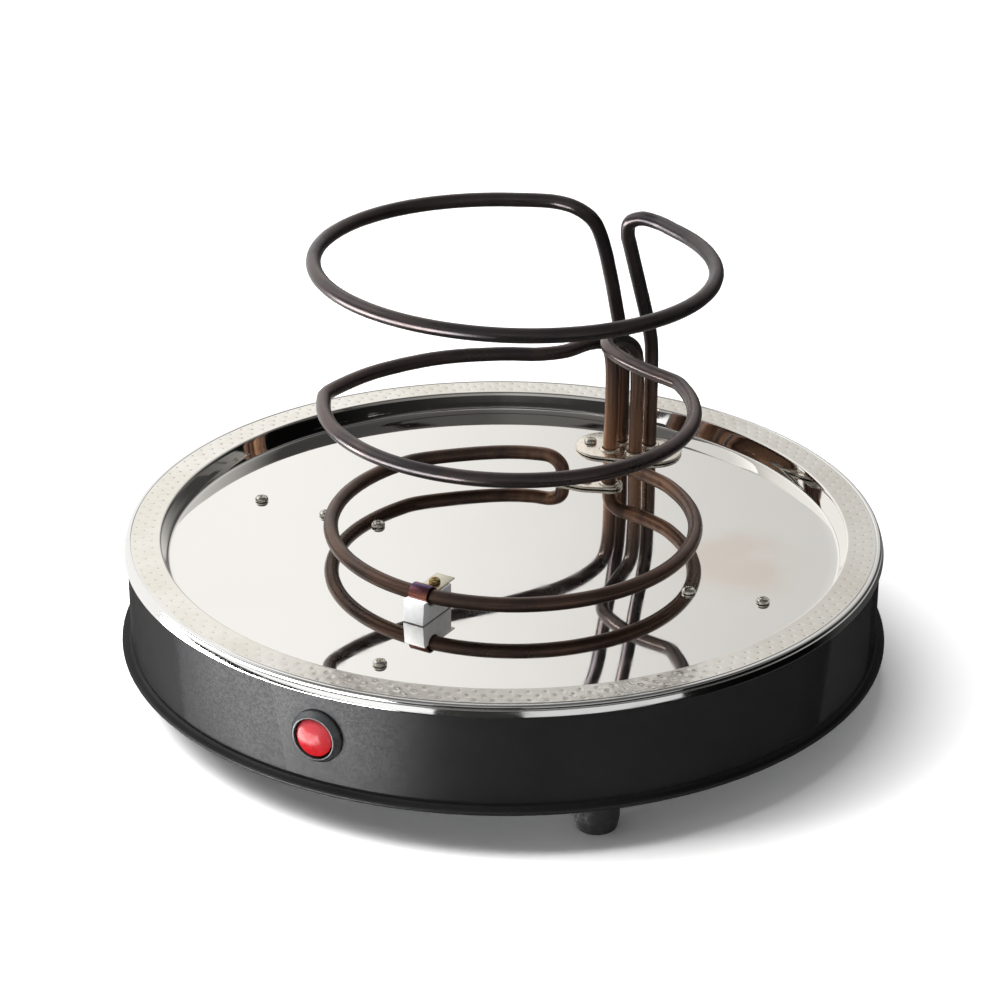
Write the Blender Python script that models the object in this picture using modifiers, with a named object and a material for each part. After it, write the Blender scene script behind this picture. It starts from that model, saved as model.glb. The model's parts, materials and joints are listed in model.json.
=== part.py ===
"""Electric hot plate burner with three raised tubular heating loops.

Standalone Blender 4.5 script. Lengths are in metres, written as millimetres times MM.
+Z is up, -Y is the front (the switch side), and the origin is on the ground under the
centre of the drum. Every object in the collection is one closed solid of the assembly.
"""
import math

import bmesh
import bpy
from mathutils import Matrix, Vector

NAME = "hot_plate_burner"
MM = 0.001
CLEARANCE = 0.3 * MM          # left between pieces that touch
SEGMENTS = 48                 # sides of the large turned pieces

# Heights above the ground
RIM_Z = 66.5 * MM             # flat rim of the reflector tray
FLOOR_Z = 57.8 * MM           # upper face of the tray's floor
HEM_Z = 18.5 * MM             # underside of the drum's hem
SHEET = 0.8 * MM              # tray and cover sheet

# Drum and tray radii
WALL_R = 165.0 * MM
WALL_THICKNESS = 1.0 * MM
HEM_R = 169.0 * MM
HEM_HEIGHT = 1.8 * MM
TRAY_R = 166.5 * MM
RIM_INNER_R = 150.3 * MM
RIM_OUTER_R = 163.0 * MM
FLOOR_R = 147.6 * MM
LIP_HEIGHT = 5.0 * MM
TRAY_SHOULDER = 2.2 * MM      # from the rim down to where the lip's inner face is straight
NOSE_Y = 169.9 * MM           # reach of the switch in front and of the cord gland behind

# Tubular heating elements
TUBE_R = 3.25 * MM
LOWER_Z = 68.7 * MM
MIDDLE_Z = 123.8 * MM
UPPER_Z = 187.4 * MM
TUBE_END_Z = 46.0 * MM        # below the tray, where the terminals start

# Element tower at the back: four legs through one plate, turned about the vertical
TOWER_CENTRE = Vector((5.6, 117.3)) * MM
TOWER_TURN = math.radians(11)
TOWER_ROW = 5.2 * MM          # half the distance between the two rows of legs
FRONT_HALF = 6.1 * MM         # half the distance between the middle loop's legs
REAR_HALF = 6.9 * MM          # half the distance between the upper loop's legs
ROW_SHIFT = 1.8 * MM          # the front row stands this far left, the rear row as far right
LOWER_CENTRE = Vector((4.2, 74.3)) * MM
LOWER_HALF = 10.9 * MM        # half the distance between the lower loop's ends

PLATE_THICKNESS = 1.2 * MM
COLLAR_R = 4.75 * MM
COLLAR_HEIGHT = 2.2 * MM
BORE_R = TUBE_R + CLEARANCE
REAR_SCREW_REACH = 18.5 * MM

# Standoff under the lower loop's front, with its strap, both turned about the vertical
STANDOFF_X = 2.7 * MM
STANDOFF_TURN = math.radians(-3.7)
STANDOFF_WIDTH = 10 * MM
STANDOFF_FRONT_Y = -87.2 * MM
STANDOFF_REAR_Y = -64.8 * MM
STANDOFF_TOP_Z = FLOOR_Z + 11.2 * MM
STANDOFF_LEAN = 0.8 * MM      # the front face's top stands this far behind its foot
LOOP_FRONT_Y = -79.5 * MM     # the lower loop's front, where it crosses the standoff
SEAT_R = TUBE_R + 2 * CLEARANCE
STRAP_WIDTH = 9 * MM
STRAP_THICKNESS = 0.7 * MM
STRAP_FRONT_Y = -85.4 * MM
STRAP_REAR_Y = -61.2 * MM
CLAMP_SCREW_Y = -70.0 * MM
CLAMP_SCREW_R = 2.5 * MM

# Inside the drum
INSIDE_LOW_Z = 21.1 * MM      # where things that stand on the bottom cover start
INSIDE_TOP_Z = 56.7 * MM      # where things that hang under the tray's floor start
BRACKET_SHEET = 1.2 * MM
BRACE_LENGTH = 264 * MM
FRONT_BRACKET_Y = -162.8 * MM
CORNER_BRACKET_R = 161.8 * MM
CORNER_BRACKET_SHEET = 1.5 * MM
BOLT_R = 2 * MM
BOLT_HOLE_R = 2.3 * MM
TERMINAL_BLOCK_SIZE = (44 * MM, 24 * MM, 11 * MM)
CUTOUT_PLACE = Vector((-45, 42)) * MM
EARTH_STUD_PLACE = Vector((52, 112)) * MM
CORD_CLAMP_Y = 154 * MM
SHIELD_Z = 40.5 * MM
SHIELD_R = 98 * MM

# Screws
SCREW_HEAD_R = 3.0 * MM
SCREW_HEAD_HEIGHT = 2.0 * MM
SCREW_SHANK_R = 1.5 * MM
BRACE_Y = -5.5 * MM
BRACE_TURN = math.radians(2.5)
# Each floor screw's place along the brace and its offset from the middle line, in mm
BRACE_SCREWS = [(-117.6, -0.6), (-84.0, -2.2), (-57.6, -2.2), (92.1, -4.6), (123.9, 0)]
FRONT_SCREW = Vector((7.4, -124.9)) * MM

# Feet
FOOT_R = 9.5 * MM
FOOT_RING_R = 149.0 * MM
FOOT_ANGLES = {
    "front_right": math.radians(-48),
    "rear_right": math.radians(48),
    "rear_left": math.radians(132),
    "front_left": math.radians(-132),
}
COVER_Z = 20.0 * MM           # underside of the bottom cover

# Switch
SWITCH_X = 1.0 * MM
SWITCH_Z = 43.0 * MM
SWITCH_PIVOT_Y = -163.6 * MM
ROCKER_TILT = math.radians(5)
BEZEL_R = 11.4 * MM
SWITCH_BORE_R = 8.8 * MM
ROCKER_R = 8.1 * MM
SLEEVE_R = 9.6 * MM
SLEEVE_END_Y = 160.2 * MM
HOUSING_REAR_Y = 146 * MM
TAB_OFFSET = 5 * MM
TAB_SIZE = (0.8 * MM, 8 * MM, 4.8 * MM)

# Cord gland in the back wall
GLAND_Z = 36 * MM
GLAND_NECK_R = 6.4 * MM
GLAND_FLANGE_R = 9 * MM
GLAND_INSIDE_Y = 163.3 * MM
CORD_BORE_R = 3.9 * MM


# ---------------------------------------------------------------- scene and materials

def clear_scene():
    for thing in list(bpy.data.objects):
        bpy.data.objects.remove(thing, do_unlink=True)


def new_collection(name):
    collection = bpy.data.collections.new(name)
    bpy.context.scene.collection.children.link(collection)
    return collection


def new_material(name, color, roughness, metallic):
    material = bpy.data.materials.new(name)
    material.use_nodes = True
    shader = material.node_tree.nodes["Principled BSDF"]
    shader.inputs["Base Color"].default_value = (*color, 1.0)
    shader.inputs["Roughness"].default_value = roughness
    shader.inputs["Metallic"].default_value = metallic
    material.diffuse_color = (*color, 1.0)
    return material


clear_scene()
PARTS = new_collection(NAME)
CUTTERS = new_collection(NAME + "_cutters")

POLISHED = new_material("polished_stainless", (0.86, 0.85, 0.82), 0.06, 1.0)
BLACK_PAINT = new_material("satin_black_paint", (0.045, 0.045, 0.045), 0.45, 0.0)
OXIDISED = new_material("oxidised_sheath", (0.085, 0.065, 0.06), 0.38, 0.85)
NICKEL = new_material("nickel_screw", (0.62, 0.6, 0.55), 0.25, 1.0)
BRASS = new_material("brass_screw", (0.72, 0.55, 0.28), 0.25, 1.0)
HEAT_TINTED = new_material("heat_tinted_strap", (0.45, 0.27, 0.24), 0.3, 1.0)
CERAMIC = new_material("white_ceramic", (0.88, 0.88, 0.86), 0.4, 0.0)
RED_LENS = new_material("red_lens", (0.8, 0.03, 0.03), 0.12, 0.0)
BLACK_PLASTIC = new_material("black_plastic", (0.03, 0.03, 0.03), 0.3, 0.0)
BLACK_RUBBER = new_material("black_rubber", (0.04, 0.04, 0.04), 0.7, 0.0)
GALVANISED = new_material("galvanised_steel", (0.55, 0.56, 0.57), 0.45, 1.0)


# ---------------------------------------------------------------- modelling helpers

def add_object(name, data, material, collection=PARTS):
    thing = bpy.data.objects.new(name, data)
    thing.data.materials.append(material)
    collection.objects.link(thing)
    return thing


def smooth(mesh):
    mesh.shade_smooth()
    mesh.set_sharp_from_angle(angle=math.radians(35))


def fillet(corners, arc_steps=3):
    """Round the corners of a flat outline: (x, y) stays sharp, (x, y, radius) is rounded."""
    points = []
    count = len(corners)
    for index, corner in enumerate(corners):
        here = Vector(corner[:2])
        if len(corner) == 2:
            points.append(here)
            continue
        radius = corner[2]
        before = (Vector(corners[index - 1][:2]) - here).normalized()
        after = (Vector(corners[(index + 1) % count][:2]) - here).normalized()
        half_angle = before.angle(after) / 2
        reach = radius / math.tan(half_angle)
        centre = here + (before + after).normalized() * (radius / math.sin(half_angle))
        start = here + before * reach - centre
        sweep = start.angle_signed(here + after * reach - centre)
        for step in range(arc_steps + 1):
            turn = Matrix.Rotation(-sweep * step / arc_steps, 2)
            points.append(centre + turn @ start)
    return points


def turned(name, corners, material, segments=SEGMENTS, closed=True, arc_steps=3):
    """Turn a profile of (radius, height) corners about the local Z axis.

    The profile runs clockwise: down on the outer side. An open one starts and ends on the
    axis.
    """
    points = fillet(corners, arc_steps)
    mesh = bpy.data.meshes.new(name)
    edges = [(i, i + 1) for i in range(len(points) - 1)]
    if closed:
        edges.append((len(points) - 1, 0))
    mesh.from_pydata([(p.x, 0, p.y) for p in points], edges, [])
    thing = add_object(name, mesh, material)
    screw = thing.modifiers.new("turn", "SCREW")
    screw.axis = "Z"
    screw.steps = segments
    screw.render_steps = segments
    screw.use_merge_vertices = True
    screw.merge_threshold = 0.00001
    screw.use_normal_calculate = False
    return bake(thing)


def bake(thing):
    """Replace an object by its evaluated mesh, welded and shaded smooth."""
    graph = bpy.context.evaluated_depsgraph_get()
    mesh = bpy.data.meshes.new_from_object(thing.evaluated_get(graph))
    work = bmesh.new()
    work.from_mesh(mesh)
    bmesh.ops.remove_doubles(work, verts=work.verts, dist=0.000002)
    bmesh.ops.recalc_face_normals(work, faces=work.faces)
    work.to_mesh(mesh)
    work.free()
    smooth(mesh)
    name, matrix, collection = thing.name, thing.matrix_world.copy(), thing.users_collection[0]
    bpy.data.objects.remove(thing)
    mesh.name = name
    solid = bpy.data.objects.new(name, mesh)
    solid.matrix_world = matrix
    collection.objects.link(solid)
    return solid


def extruded(name, corners, thickness, material, arc_steps=3):
    """Extrude a flat outline, from z = 0 up to the thickness."""
    curve = bpy.data.curves.new(name, "CURVE")
    curve.dimensions = "2D"
    curve.fill_mode = "BOTH"
    curve.extrude = thickness / 2
    points = fillet(corners, arc_steps)
    spline = curve.splines.new("POLY")
    spline.points.add(len(points) - 1)
    for slot, point in zip(spline.points, points):
        slot.co = (point.x, point.y, 0, 1)
    spline.use_cyclic_u = True
    thing = bake(add_object(name, curve, material))
    thing.data.transform(Matrix.Translation((0, 0, thickness / 2)))
    return thing


def cylinder(name, radius, low, high, material, sides=16, collection=PARTS):
    """A cylinder about the local Z axis, from one height to another."""
    work = bmesh.new()
    bmesh.ops.create_cone(work, cap_ends=True, segments=sides, radius1=radius, radius2=radius,
                          depth=high - low)
    mesh = bpy.data.meshes.new(name)
    work.to_mesh(mesh)
    work.free()
    mesh.transform(Matrix.Translation((0, 0, (low + high) / 2)))
    smooth(mesh)
    return add_object(name, mesh, material, collection)


def box(name, size, material, bevel=0.0):
    """A box standing on z = 0, with its vertical axis through the origin."""
    work = bmesh.new()
    bmesh.ops.create_cube(work, size=1.0)
    mesh = bpy.data.meshes.new(name)
    work.to_mesh(mesh)
    work.free()
    mesh.transform(Matrix.Diagonal((*size, 1.0)))
    mesh.transform(Matrix.Translation((0, 0, size[2] / 2)))
    thing = add_object(name, mesh, material)
    if bevel:
        edge = thing.modifiers.new("edges", "BEVEL")
        edge.width = bevel
        edge.segments = 2
        edge.limit_method = "ANGLE"
    return thing


def combine(thing, other, operation):
    """Cut the other object out of this one, or join it on, and keep the result as a mesh."""
    if other.users_collection[0] != CUTTERS:
        for collection in other.users_collection:
            collection.objects.unlink(other)
        CUTTERS.objects.link(other)
    other.hide_render = True
    other.display_type = "WIRE"
    boolean = thing.modifiers.new(operation.lower(), "BOOLEAN")
    boolean.operation = operation
    boolean.solver = "EXACT"
    boolean.object = other
    bpy.context.view_layer.update()


def drill(thing, places, radius, low, high, sides=16):
    """Cut round vertical holes through an object at (x, y) places."""
    for index, place in enumerate(places):
        name = f"{thing.name}_hole_{len(thing.modifiers)}_{index}"
        cutter = cylinder(name, radius, low, high, GALVANISED, sides, CUTTERS)
        cutter.location = (place[0], place[1], 0)
        combine(thing, cutter, "DIFFERENCE")


def slot_cutter(name, length, width, low, high, place, turn):
    """A cutter with round ends, its long way along X before it is turned."""
    half, end = length / 2, width / 2
    corners = [(half, -end, end * 0.98), (half, end, end * 0.98),
               (-half, end, end * 0.98), (-half, -end, end * 0.98)]
    cutter = extruded(name, corners, high - low, GALVANISED, arc_steps=2)
    cutter.location = (place[0], place[1], low)
    cutter.rotation_euler.z = turn
    return cutter


def turned_point(centre, across, along, turn):
    """A point given in a turned frame about a centre."""
    offset = Vector((across, along))
    offset.rotate(Matrix.Rotation(turn, 2))
    return centre + offset


# ---------------------------------------------------------------- tube paths

def arc_points(centre, semi_axes, start, end, height, step=6):
    """Points along an ellipse at one height, from one angle in degrees to another."""
    count = max(2, round(abs(end - start) / step))
    points = []
    for index in range(count + 1):
        angle = math.radians(start + (end - start) * index / count)
        points.append(Vector((centre[0] + semi_axes[0] * math.cos(angle),
                              centre[1] + semi_axes[1] * math.sin(angle), height)))
    return points


def curve_through(points, per_span=10):
    """A centripetal Catmull-Rom curve through the points."""
    padded = [points[0] * 2 - points[1], *points, points[-1] * 2 - points[-2]]
    curve = []
    for i in range(1, len(padded) - 2):
        p0, p1, p2, p3 = padded[i - 1:i + 3]
        t0 = 0.0
        t1 = t0 + math.sqrt((p1 - p0).length)
        t2 = t1 + math.sqrt((p2 - p1).length)
        t3 = t2 + math.sqrt((p3 - p2).length)
        for step in range(per_span):
            t = t1 + (t2 - t1) * step / per_span
            a1 = p0 * ((t1 - t) / (t1 - t0)) + p1 * ((t - t0) / (t1 - t0))
            a2 = p1 * ((t2 - t) / (t2 - t1)) + p2 * ((t - t1) / (t2 - t1))
            a3 = p2 * ((t3 - t) / (t3 - t2)) + p3 * ((t - t2) / (t3 - t2))
            b1 = a1 * ((t2 - t) / (t2 - t0)) + a2 * ((t - t0) / (t2 - t0))
            b2 = a2 * ((t3 - t) / (t3 - t1)) + a3 * ((t - t1) / (t3 - t1))
            curve.append(b1 * ((t2 - t) / (t2 - t1)) + b2 * ((t - t1) / (t2 - t1)))
    curve.append(points[-1].copy())
    return curve


def thin_out(points, max_turn=math.radians(9)):
    """Keep a point wherever the path has turned by max_turn since the last one kept."""
    kept = [points[0]]
    turned_so_far = 0.0
    for before, here, after in zip(points, points[1:], points[2:]):
        turned_so_far += (here - before).angle(after - here, 0.0)
        if turned_so_far >= max_turn:
            kept.append(here)
            turned_so_far = 0.0
    kept.append(points[-1])
    return kept


def tube(name, points, radius, material, resolution=2):
    """A round bar along a path, with flat ends."""
    curve = bpy.data.curves.new(name, "CURVE")
    curve.dimensions = "3D"
    curve.bevel_depth = radius
    curve.bevel_resolution = resolution
    curve.use_fill_caps = True
    spline = curve.splines.new("POLY")
    spline.points.add(len(points) - 1)
    for slot, point in zip(spline.points, points):
        slot.co = (*point, 1)
    return bake(add_object(name, curve, material))


def millimetres(points):
    return [Vector(point) * MM for point in points]


def upright(place, heights):
    """Points straight above one place."""
    return [Vector((place.x, place.y, height)) for height in heights]


# ---------------------------------------------------------------- heating elements

def lower_ends():
    return [turned_point(LOWER_CENTRE, side * LOWER_HALF, 0, TOWER_TURN) for side in (-1, 1)]


def middle_legs():
    return [turned_point(TOWER_CENTRE, side * FRONT_HALF - ROW_SHIFT, -TOWER_ROW, TOWER_TURN)
            for side in (-1, 1)]


def upper_legs():
    return [turned_point(TOWER_CENTRE, side * REAR_HALF + ROW_SHIFT, TOWER_ROW, TOWER_TURN)
            for side in (-1, 1)]


def make_lower_loop():
    left, right = lower_ends()
    rise = [TUBE_END_Z, LOWER_Z - 9 * MM]
    start = [*upright(left, rise),
             *millimetres([(-7.6, 72.2, 65.2), (-12.5, 72.6, 68.4), (-21.5, 71.4, 68.7),
                           (-33.5, 66.4, 68.7), (-51, 53.6, 68.7)])]
    loop = arc_points((4.3 * MM, 0.5 * MM), (80 * MM, 80 * MM), 152, 418, LOWER_Z)
    end = [*millimetres([(31.5, 74.4, 68.7), (20.8, 76.2, 68.4), (16.0, 76.4, 65.2)]),
           *upright(right, reversed(rise))]
    return tube("heating_loop_lower", thin_out(curve_through(start + loop + end)), TUBE_R, OXIDISED)


def make_middle_loop():
    left, right = middle_legs()
    rise = [TUBE_END_Z, 106 * MM]
    start = [*upright(left, rise),
             *millimetres([(-2.6, 107.6, 113.6), (-5.8, 97, 117.0), (-10.6, 81.5, 117.8),
                           (-18.5, 70.5, 118.8), (-32, 57.2, 121.2), (-51.5, 36.5, 123.0),
                           (-67, 9.6, 123.8), (-73, -9.5, 123.8)])]
    loop = arc_points((1.5 * MM, 1.0 * MM), (81.0 * MM, 76.8 * MM), 200, 408, MIDDLE_Z)
    end = [*millimetres([(38.3, 63.4, 124.4), (22.5, 70.8, 124.6), (11.5, 80, 124.4),
                         (6.8, 91.0, 123.2), (7.6, 102.5, 119.4), (10.2, 110.6, 113)]),
           *upright(right, reversed(rise))]
    return tube("heating_loop_middle", thin_out(curve_through(start + loop + end)), TUBE_R,
                OXIDISED)


def make_upper_loop():
    left, right = upper_legs()
    rise = [TUBE_END_Z, 107 * MM]
    start = [*upright(left, rise),
             *millimetres([(-0.4, 117.6, 119), (-0.5, 97.0, 168.5), (-2.4, 89.6, 180.5),
                           (-8.5, 85.6, 186.0), (-18.5, 84.6, 187.4)])]
    loop = arc_points((1.2 * MM, 6.1 * MM), (87.0 * MM, 80 * MM), 116, 420, UPPER_Z)
    end = [*millimetres([(34.5, 81.2, 187.4), (25.2, 83.4, 187.2), (19.0, 84.6, 184.0),
                         (16.4, 87.8, 177.2), (15.6, 92.8, 169), (13.8, 120.2, 118)]),
           *upright(right, reversed(rise))]
    return tube("heating_loop_upper", thin_out(curve_through(start + loop + end)), TUBE_R, OXIDISED)


def make_element_terminals():
    """A ceramic end seal and a terminal pin below each of the six tube ends."""
    seal_low = TUBE_END_Z - 5 * MM
    pin_low = TUBE_END_Z - 12 * MM
    ends = {"lower": lower_ends(), "middle": middle_legs(), "upper": upper_legs()}
    for loop_name, places in ends.items():
        for side, place in zip(("left", "right"), places):
            seal_top = TUBE_END_Z - CLEARANCE
            seal = turned(f"end_seal_{loop_name}_{side}",
                          [(2.9 * MM, seal_top), (2.9 * MM, seal_low),
                           (1.2 * MM, seal_low), (1.2 * MM, seal_top)], CERAMIC, segments=12)
            pin = cylinder(f"terminal_pin_{loop_name}_{side}", 0.9 * MM, pin_low, seal_top, NICKEL, 8)
            for thing in (seal, pin):
                thing.location = (place.x, place.y, 0)


# ---------------------------------------------------------------- plates and the standoff

def make_flange(name, centre, outline, places, turn):
    """A floor plate with a raised collar around every tube that passes through it."""
    low = FLOOR_Z + CLEARANCE
    plate = extruded(name, outline, PLATE_THICKNESS, POLISHED, arc_steps=4)
    plate.location = (centre.x, centre.y, low)
    plate.rotation_euler.z = turn
    bpy.context.view_layer.update()
    for index, place in enumerate(places):
        collar = turned(f"{name}_collar_{index}",
                        [(0, low + COLLAR_HEIGHT), (COLLAR_R, low + COLLAR_HEIGHT, 0.8 * MM),
                         (COLLAR_R, low + 0.4 * MM), (0, low + 0.4 * MM)], POLISHED, 12, False, 1)
        collar.location = (place.x, place.y, 0)
        combine(plate, collar, "UNION")
    drill(plate, places, BORE_R, low - 5 * MM, low + 10 * MM, 12)
    return plate


def make_rear_flange():
    half, depth = 25 * MM, 14.5 * MM
    outline = [(half, -depth, 13.6 * MM), (half, depth, 13.6 * MM),
               (-half, depth, 13.6 * MM), (-half, -depth, 13.6 * MM)]
    plate = make_flange("rear_flange", TOWER_CENTRE, outline, middle_legs() + upper_legs(),
                        TOWER_TURN)
    drill(plate, rear_screw_places(), SCREW_SHANK_R + CLEARANCE, FLOOR_Z - 5 * MM, FLOOR_Z + 5 * MM, 8)


def make_front_flange():
    half, waist, end = 17 * MM, 7.4 * MM, 4.6 * MM
    outline = [(half, -end, 4.2 * MM), (half, end, 4.2 * MM), (0, waist, 12 * MM),
               (-half, end, 4.2 * MM), (-half, -end, 4.2 * MM), (0, -waist, 12 * MM)]
    plate = make_flange("front_flange", LOWER_CENTRE, outline, lower_ends(), TOWER_TURN)
    drill(plate, [LOWER_CENTRE], SCREW_SHANK_R + CLEARANCE, FLOOR_Z - 5 * MM, FLOOR_Z + 5 * MM, 8)


def lay_along_x(thing, middle_x, width):
    """Turn an outline drawn as (y, z) and extruded along Z so that it is extruded along X."""
    thing.data.transform(Matrix.Translation((0, 0, -width / 2)))
    swap = Matrix(((0, 0, 1, 0), (1, 0, 0, 0), (0, 1, 0, 0), (0, 0, 0, 1)))
    thing.data.transform(swap)
    thing.location = (middle_x, 0, 0)


def turn_with_standoff(thing):
    """Turn a finished object about the vertical line where the lower loop crosses the block."""
    bpy.context.view_layer.update()
    centre = Vector((STANDOFF_X, LOOP_FRONT_Y, 0))
    turn = Matrix.Rotation(STANDOFF_TURN, 4, "Z")
    thing.matrix_world = Matrix.Translation(centre) @ turn @ Matrix.Translation(-centre) @ thing.matrix_world
    bpy.context.view_layer.update()


def clamp_screw_place():
    return turned_point(Vector((STANDOFF_X, LOOP_FRONT_Y)), 0, CLAMP_SCREW_Y - LOOP_FRONT_Y, STANDOFF_TURN)


def make_standoff():
    """The white block under the lower loop, with a round seat for the tube."""
    outline = [(STANDOFF_FRONT_Y, FLOOR_Z + CLEARANCE), (STANDOFF_REAR_Y, FLOOR_Z + CLEARANCE),
               (STANDOFF_REAR_Y, STANDOFF_TOP_Z, 0.5 * MM), (LOOP_FRONT_Y + SEAT_R, STANDOFF_TOP_Z)]
    steps = 8
    for step in range(steps + 1):
        angle = -math.pi * step / steps
        outline.append((LOOP_FRONT_Y + SEAT_R * math.cos(angle), LOWER_Z + SEAT_R * math.sin(angle)))
    outline.append((LOOP_FRONT_Y - SEAT_R, STANDOFF_TOP_Z))
    outline.append((STANDOFF_FRONT_Y + STANDOFF_LEAN, STANDOFF_TOP_Z, 0.5 * MM))
    block = extruded("ceramic_standoff", outline, STANDOFF_WIDTH, CERAMIC)
    lay_along_x(block, STANDOFF_X, STANDOFF_WIDTH)
    turn_with_standoff(block)
    drill(block, [clamp_screw_place()], SCREW_SHANK_R + CLEARANCE,
          STANDOFF_TOP_Z - 6 * MM, STANDOFF_TOP_Z + 5 * MM, 12)


def arc_over_tube(radius, foot_z, steps=9):
    """Points (y, z) over the tube, from front to back, between two feet at one height."""
    start = math.pi - math.asin((foot_z - LOWER_Z) / radius)
    angles = [start + (math.pi - 2 * start) * step / steps for step in range(steps + 1)]
    return [(LOOP_FRONT_Y + radius * math.cos(a), LOWER_Z + radius * math.sin(a)) for a in angles]


def make_clamp():
    """A thin strap over the tube, with a short lip in front and a flat plate behind."""
    low = STANDOFF_TOP_Z + CLEARANCE
    high = low + STRAP_THICKNESS
    outside = arc_over_tube(SEAT_R + STRAP_THICKNESS, high)
    inside = arc_over_tube(SEAT_R, low)
    outline = [(STRAP_FRONT_Y, low), (STRAP_FRONT_Y, high), *outside, (STRAP_REAR_Y, high),
               (STRAP_REAR_Y, low), *reversed(inside)]
    strap = extruded("element_clamp", outline, STRAP_WIDTH, HEAT_TINTED)
    lay_along_x(strap, STANDOFF_X, STRAP_WIDTH)
    turn_with_standoff(strap)
    drill(strap, [clamp_screw_place()], SCREW_SHANK_R + CLEARANCE, low - 3 * MM, low + 5 * MM, 12)


# ---------------------------------------------------------------- screws

def make_screw(name, place, seat_z, length, material=NICKEL, head_r=SCREW_HEAD_R,
               head_height=SCREW_HEAD_HEIGHT, shank_r=SCREW_SHANK_R, upside_down=False):
    """A pan head screw whose head rests on seat_z and whose shank runs down from it."""
    profile = [(0, head_height), (head_r * 0.55, head_height), (head_r, head_height * 0.45),
               (head_r, 0), (shank_r, 0), (shank_r, -length + shank_r), (0, -length)]
    screw = turned(name, profile, material, 10, False)
    if upside_down:
        screw.rotation_euler.x = math.pi
    screw.location = (place[0], place[1], seat_z)
    return screw


def brace_screw_places():
    return [Vector((x, BRACE_Y / MM + x * math.tan(BRACE_TURN) + offset)) * MM
            for x, offset in BRACE_SCREWS]


def rear_screw_places():
    return [turned_point(TOWER_CENTRE, side * REAR_SCREW_REACH, 0, TOWER_TURN) for side in (-1, 1)]


def make_screws():
    floor_seat = FLOOR_Z + CLEARANCE
    plate_seat = floor_seat + PLATE_THICKNESS + CLEARANCE
    for index, place in enumerate(brace_screw_places(), 1):
        make_screw(f"floor_screw_{index}", place, floor_seat, 8 * MM)
    make_screw("floor_screw_front", FRONT_SCREW, floor_seat, 8 * MM)
    for side, place in zip(("left", "right"), rear_screw_places()):
        make_screw(f"rear_flange_screw_{side}", place, plate_seat, 8 * MM)
    make_screw("front_flange_screw", LOWER_CENTRE, plate_seat, 8 * MM)
    strap_seat = STANDOFF_TOP_Z + STRAP_THICKNESS + 2 * CLEARANCE
    make_screw("clamp_screw", clamp_screw_place(), strap_seat, 6 * MM, BRASS, CLAMP_SCREW_R)


# ---------------------------------------------------------------- drum, tray and cover

def make_tray():
    """Polished dish with a flat rim, a rolled lip and a shallow round pan."""
    lip_low = RIM_Z - LIP_HEIGHT
    under = RIM_Z - SHEET
    profile = [
        (0, FLOOR_Z), (FLOOR_R, FLOOR_Z, 1.2 * MM), (RIM_INNER_R, RIM_Z, 1.2 * MM),
        (RIM_OUTER_R, RIM_Z, 1.5 * MM), (TRAY_R, RIM_Z - 1.6 * MM, 1.5 * MM), (TRAY_R, lip_low),
        (TRAY_R - SHEET, lip_low), (TRAY_R - SHEET, RIM_Z - TRAY_SHOULDER),
        (RIM_OUTER_R - 0.2 * MM, under), (RIM_INNER_R + 0.8 * MM, under),
        (FLOOR_R + 0.4 * MM, FLOOR_Z - SHEET), (0, FLOOR_Z - SHEET),
    ]
    tray = turned("reflector_tray", profile, POLISHED, SEGMENTS, False, 1)
    low, high = FLOOR_Z - 3 * MM, FLOOR_Z + 3 * MM
    combine(tray, slot_cutter("rear_leg_opening", 33 * MM, 22 * MM, low, high, TOWER_CENTRE, TOWER_TURN),
            "DIFFERENCE")
    combine(tray, slot_cutter("front_leg_opening", 30 * MM, 8 * MM, low, high, LOWER_CENTRE, TOWER_TURN),
            "DIFFERENCE")
    screws = [*brace_screw_places(), FRONT_SCREW, *rear_screw_places()]
    drill(tray, screws, SCREW_SHANK_R + CLEARANCE, low, high, 8)


def make_skirt():
    """Straight drum wall with a narrow hem turned outwards at the bottom."""
    top = RIM_Z - TRAY_SHOULDER - CLEARANCE
    inner = WALL_R - WALL_THICKNESS
    hem_top = HEM_Z + HEM_HEIGHT
    profile = [(WALL_R, top), (WALL_R, hem_top), (HEM_R, hem_top, 0.8 * MM),
               (HEM_R, HEM_Z, 0.8 * MM), (inner, HEM_Z), (inner, top)]
    skirt = turned("drum_skirt", profile, BLACK_PAINT, SEGMENTS, True, 1)
    for name, radius, place in (
            ("switch_hole", SLEEVE_R + CLEARANCE, (SWITCH_X, -WALL_R, SWITCH_Z)),
            ("cord_hole", GLAND_NECK_R + CLEARANCE, (0, WALL_R, GLAND_Z))):
        cutter = cylinder(name, radius, -10 * MM, 10 * MM, GALVANISED, 24, CUTTERS)
        cutter.rotation_euler.x = math.pi / 2
        cutter.location = place
        combine(skirt, cutter, "DIFFERENCE")


def make_bottom_cover():
    """Pressed sheet under the drum, with an upturned edge and rows of vent slots."""
    top = COVER_Z + SHEET
    edge_r = WALL_R - WALL_THICKNESS - 0.6 * MM
    profile = [(0, top), (edge_r - 1.2 * MM, top, 0.8 * MM), (edge_r - SHEET, COVER_Z + 5 * MM),
               (edge_r, COVER_Z + 5 * MM), (edge_r, COVER_Z, 0.8 * MM), (0, COVER_Z)]
    cover = turned("bottom_cover", profile, GALVANISED, SEGMENTS, False, 1)
    low, high = COVER_Z - 3 * MM, COVER_Z + 3 * MM
    for side in (-1, 1):
        for row in range(5):
            place = (side * 62 * MM, (row - 2) * 16 * MM)
            slot = slot_cutter(f"vent_{side}_{row}", 42 * MM, 5 * MM, low, high, place, 0)
            combine(cover, slot, "DIFFERENCE")
    drill(cover, [*foot_places().values(), (0, BRACE_Y)], BOLT_HOLE_R, low, high, 12)


# ---------------------------------------------------------------- feet and brackets

def foot_places():
    return {name: Vector((math.cos(angle), math.sin(angle))) * FOOT_RING_R
            for name, angle in FOOT_ANGLES.items()}


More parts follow.
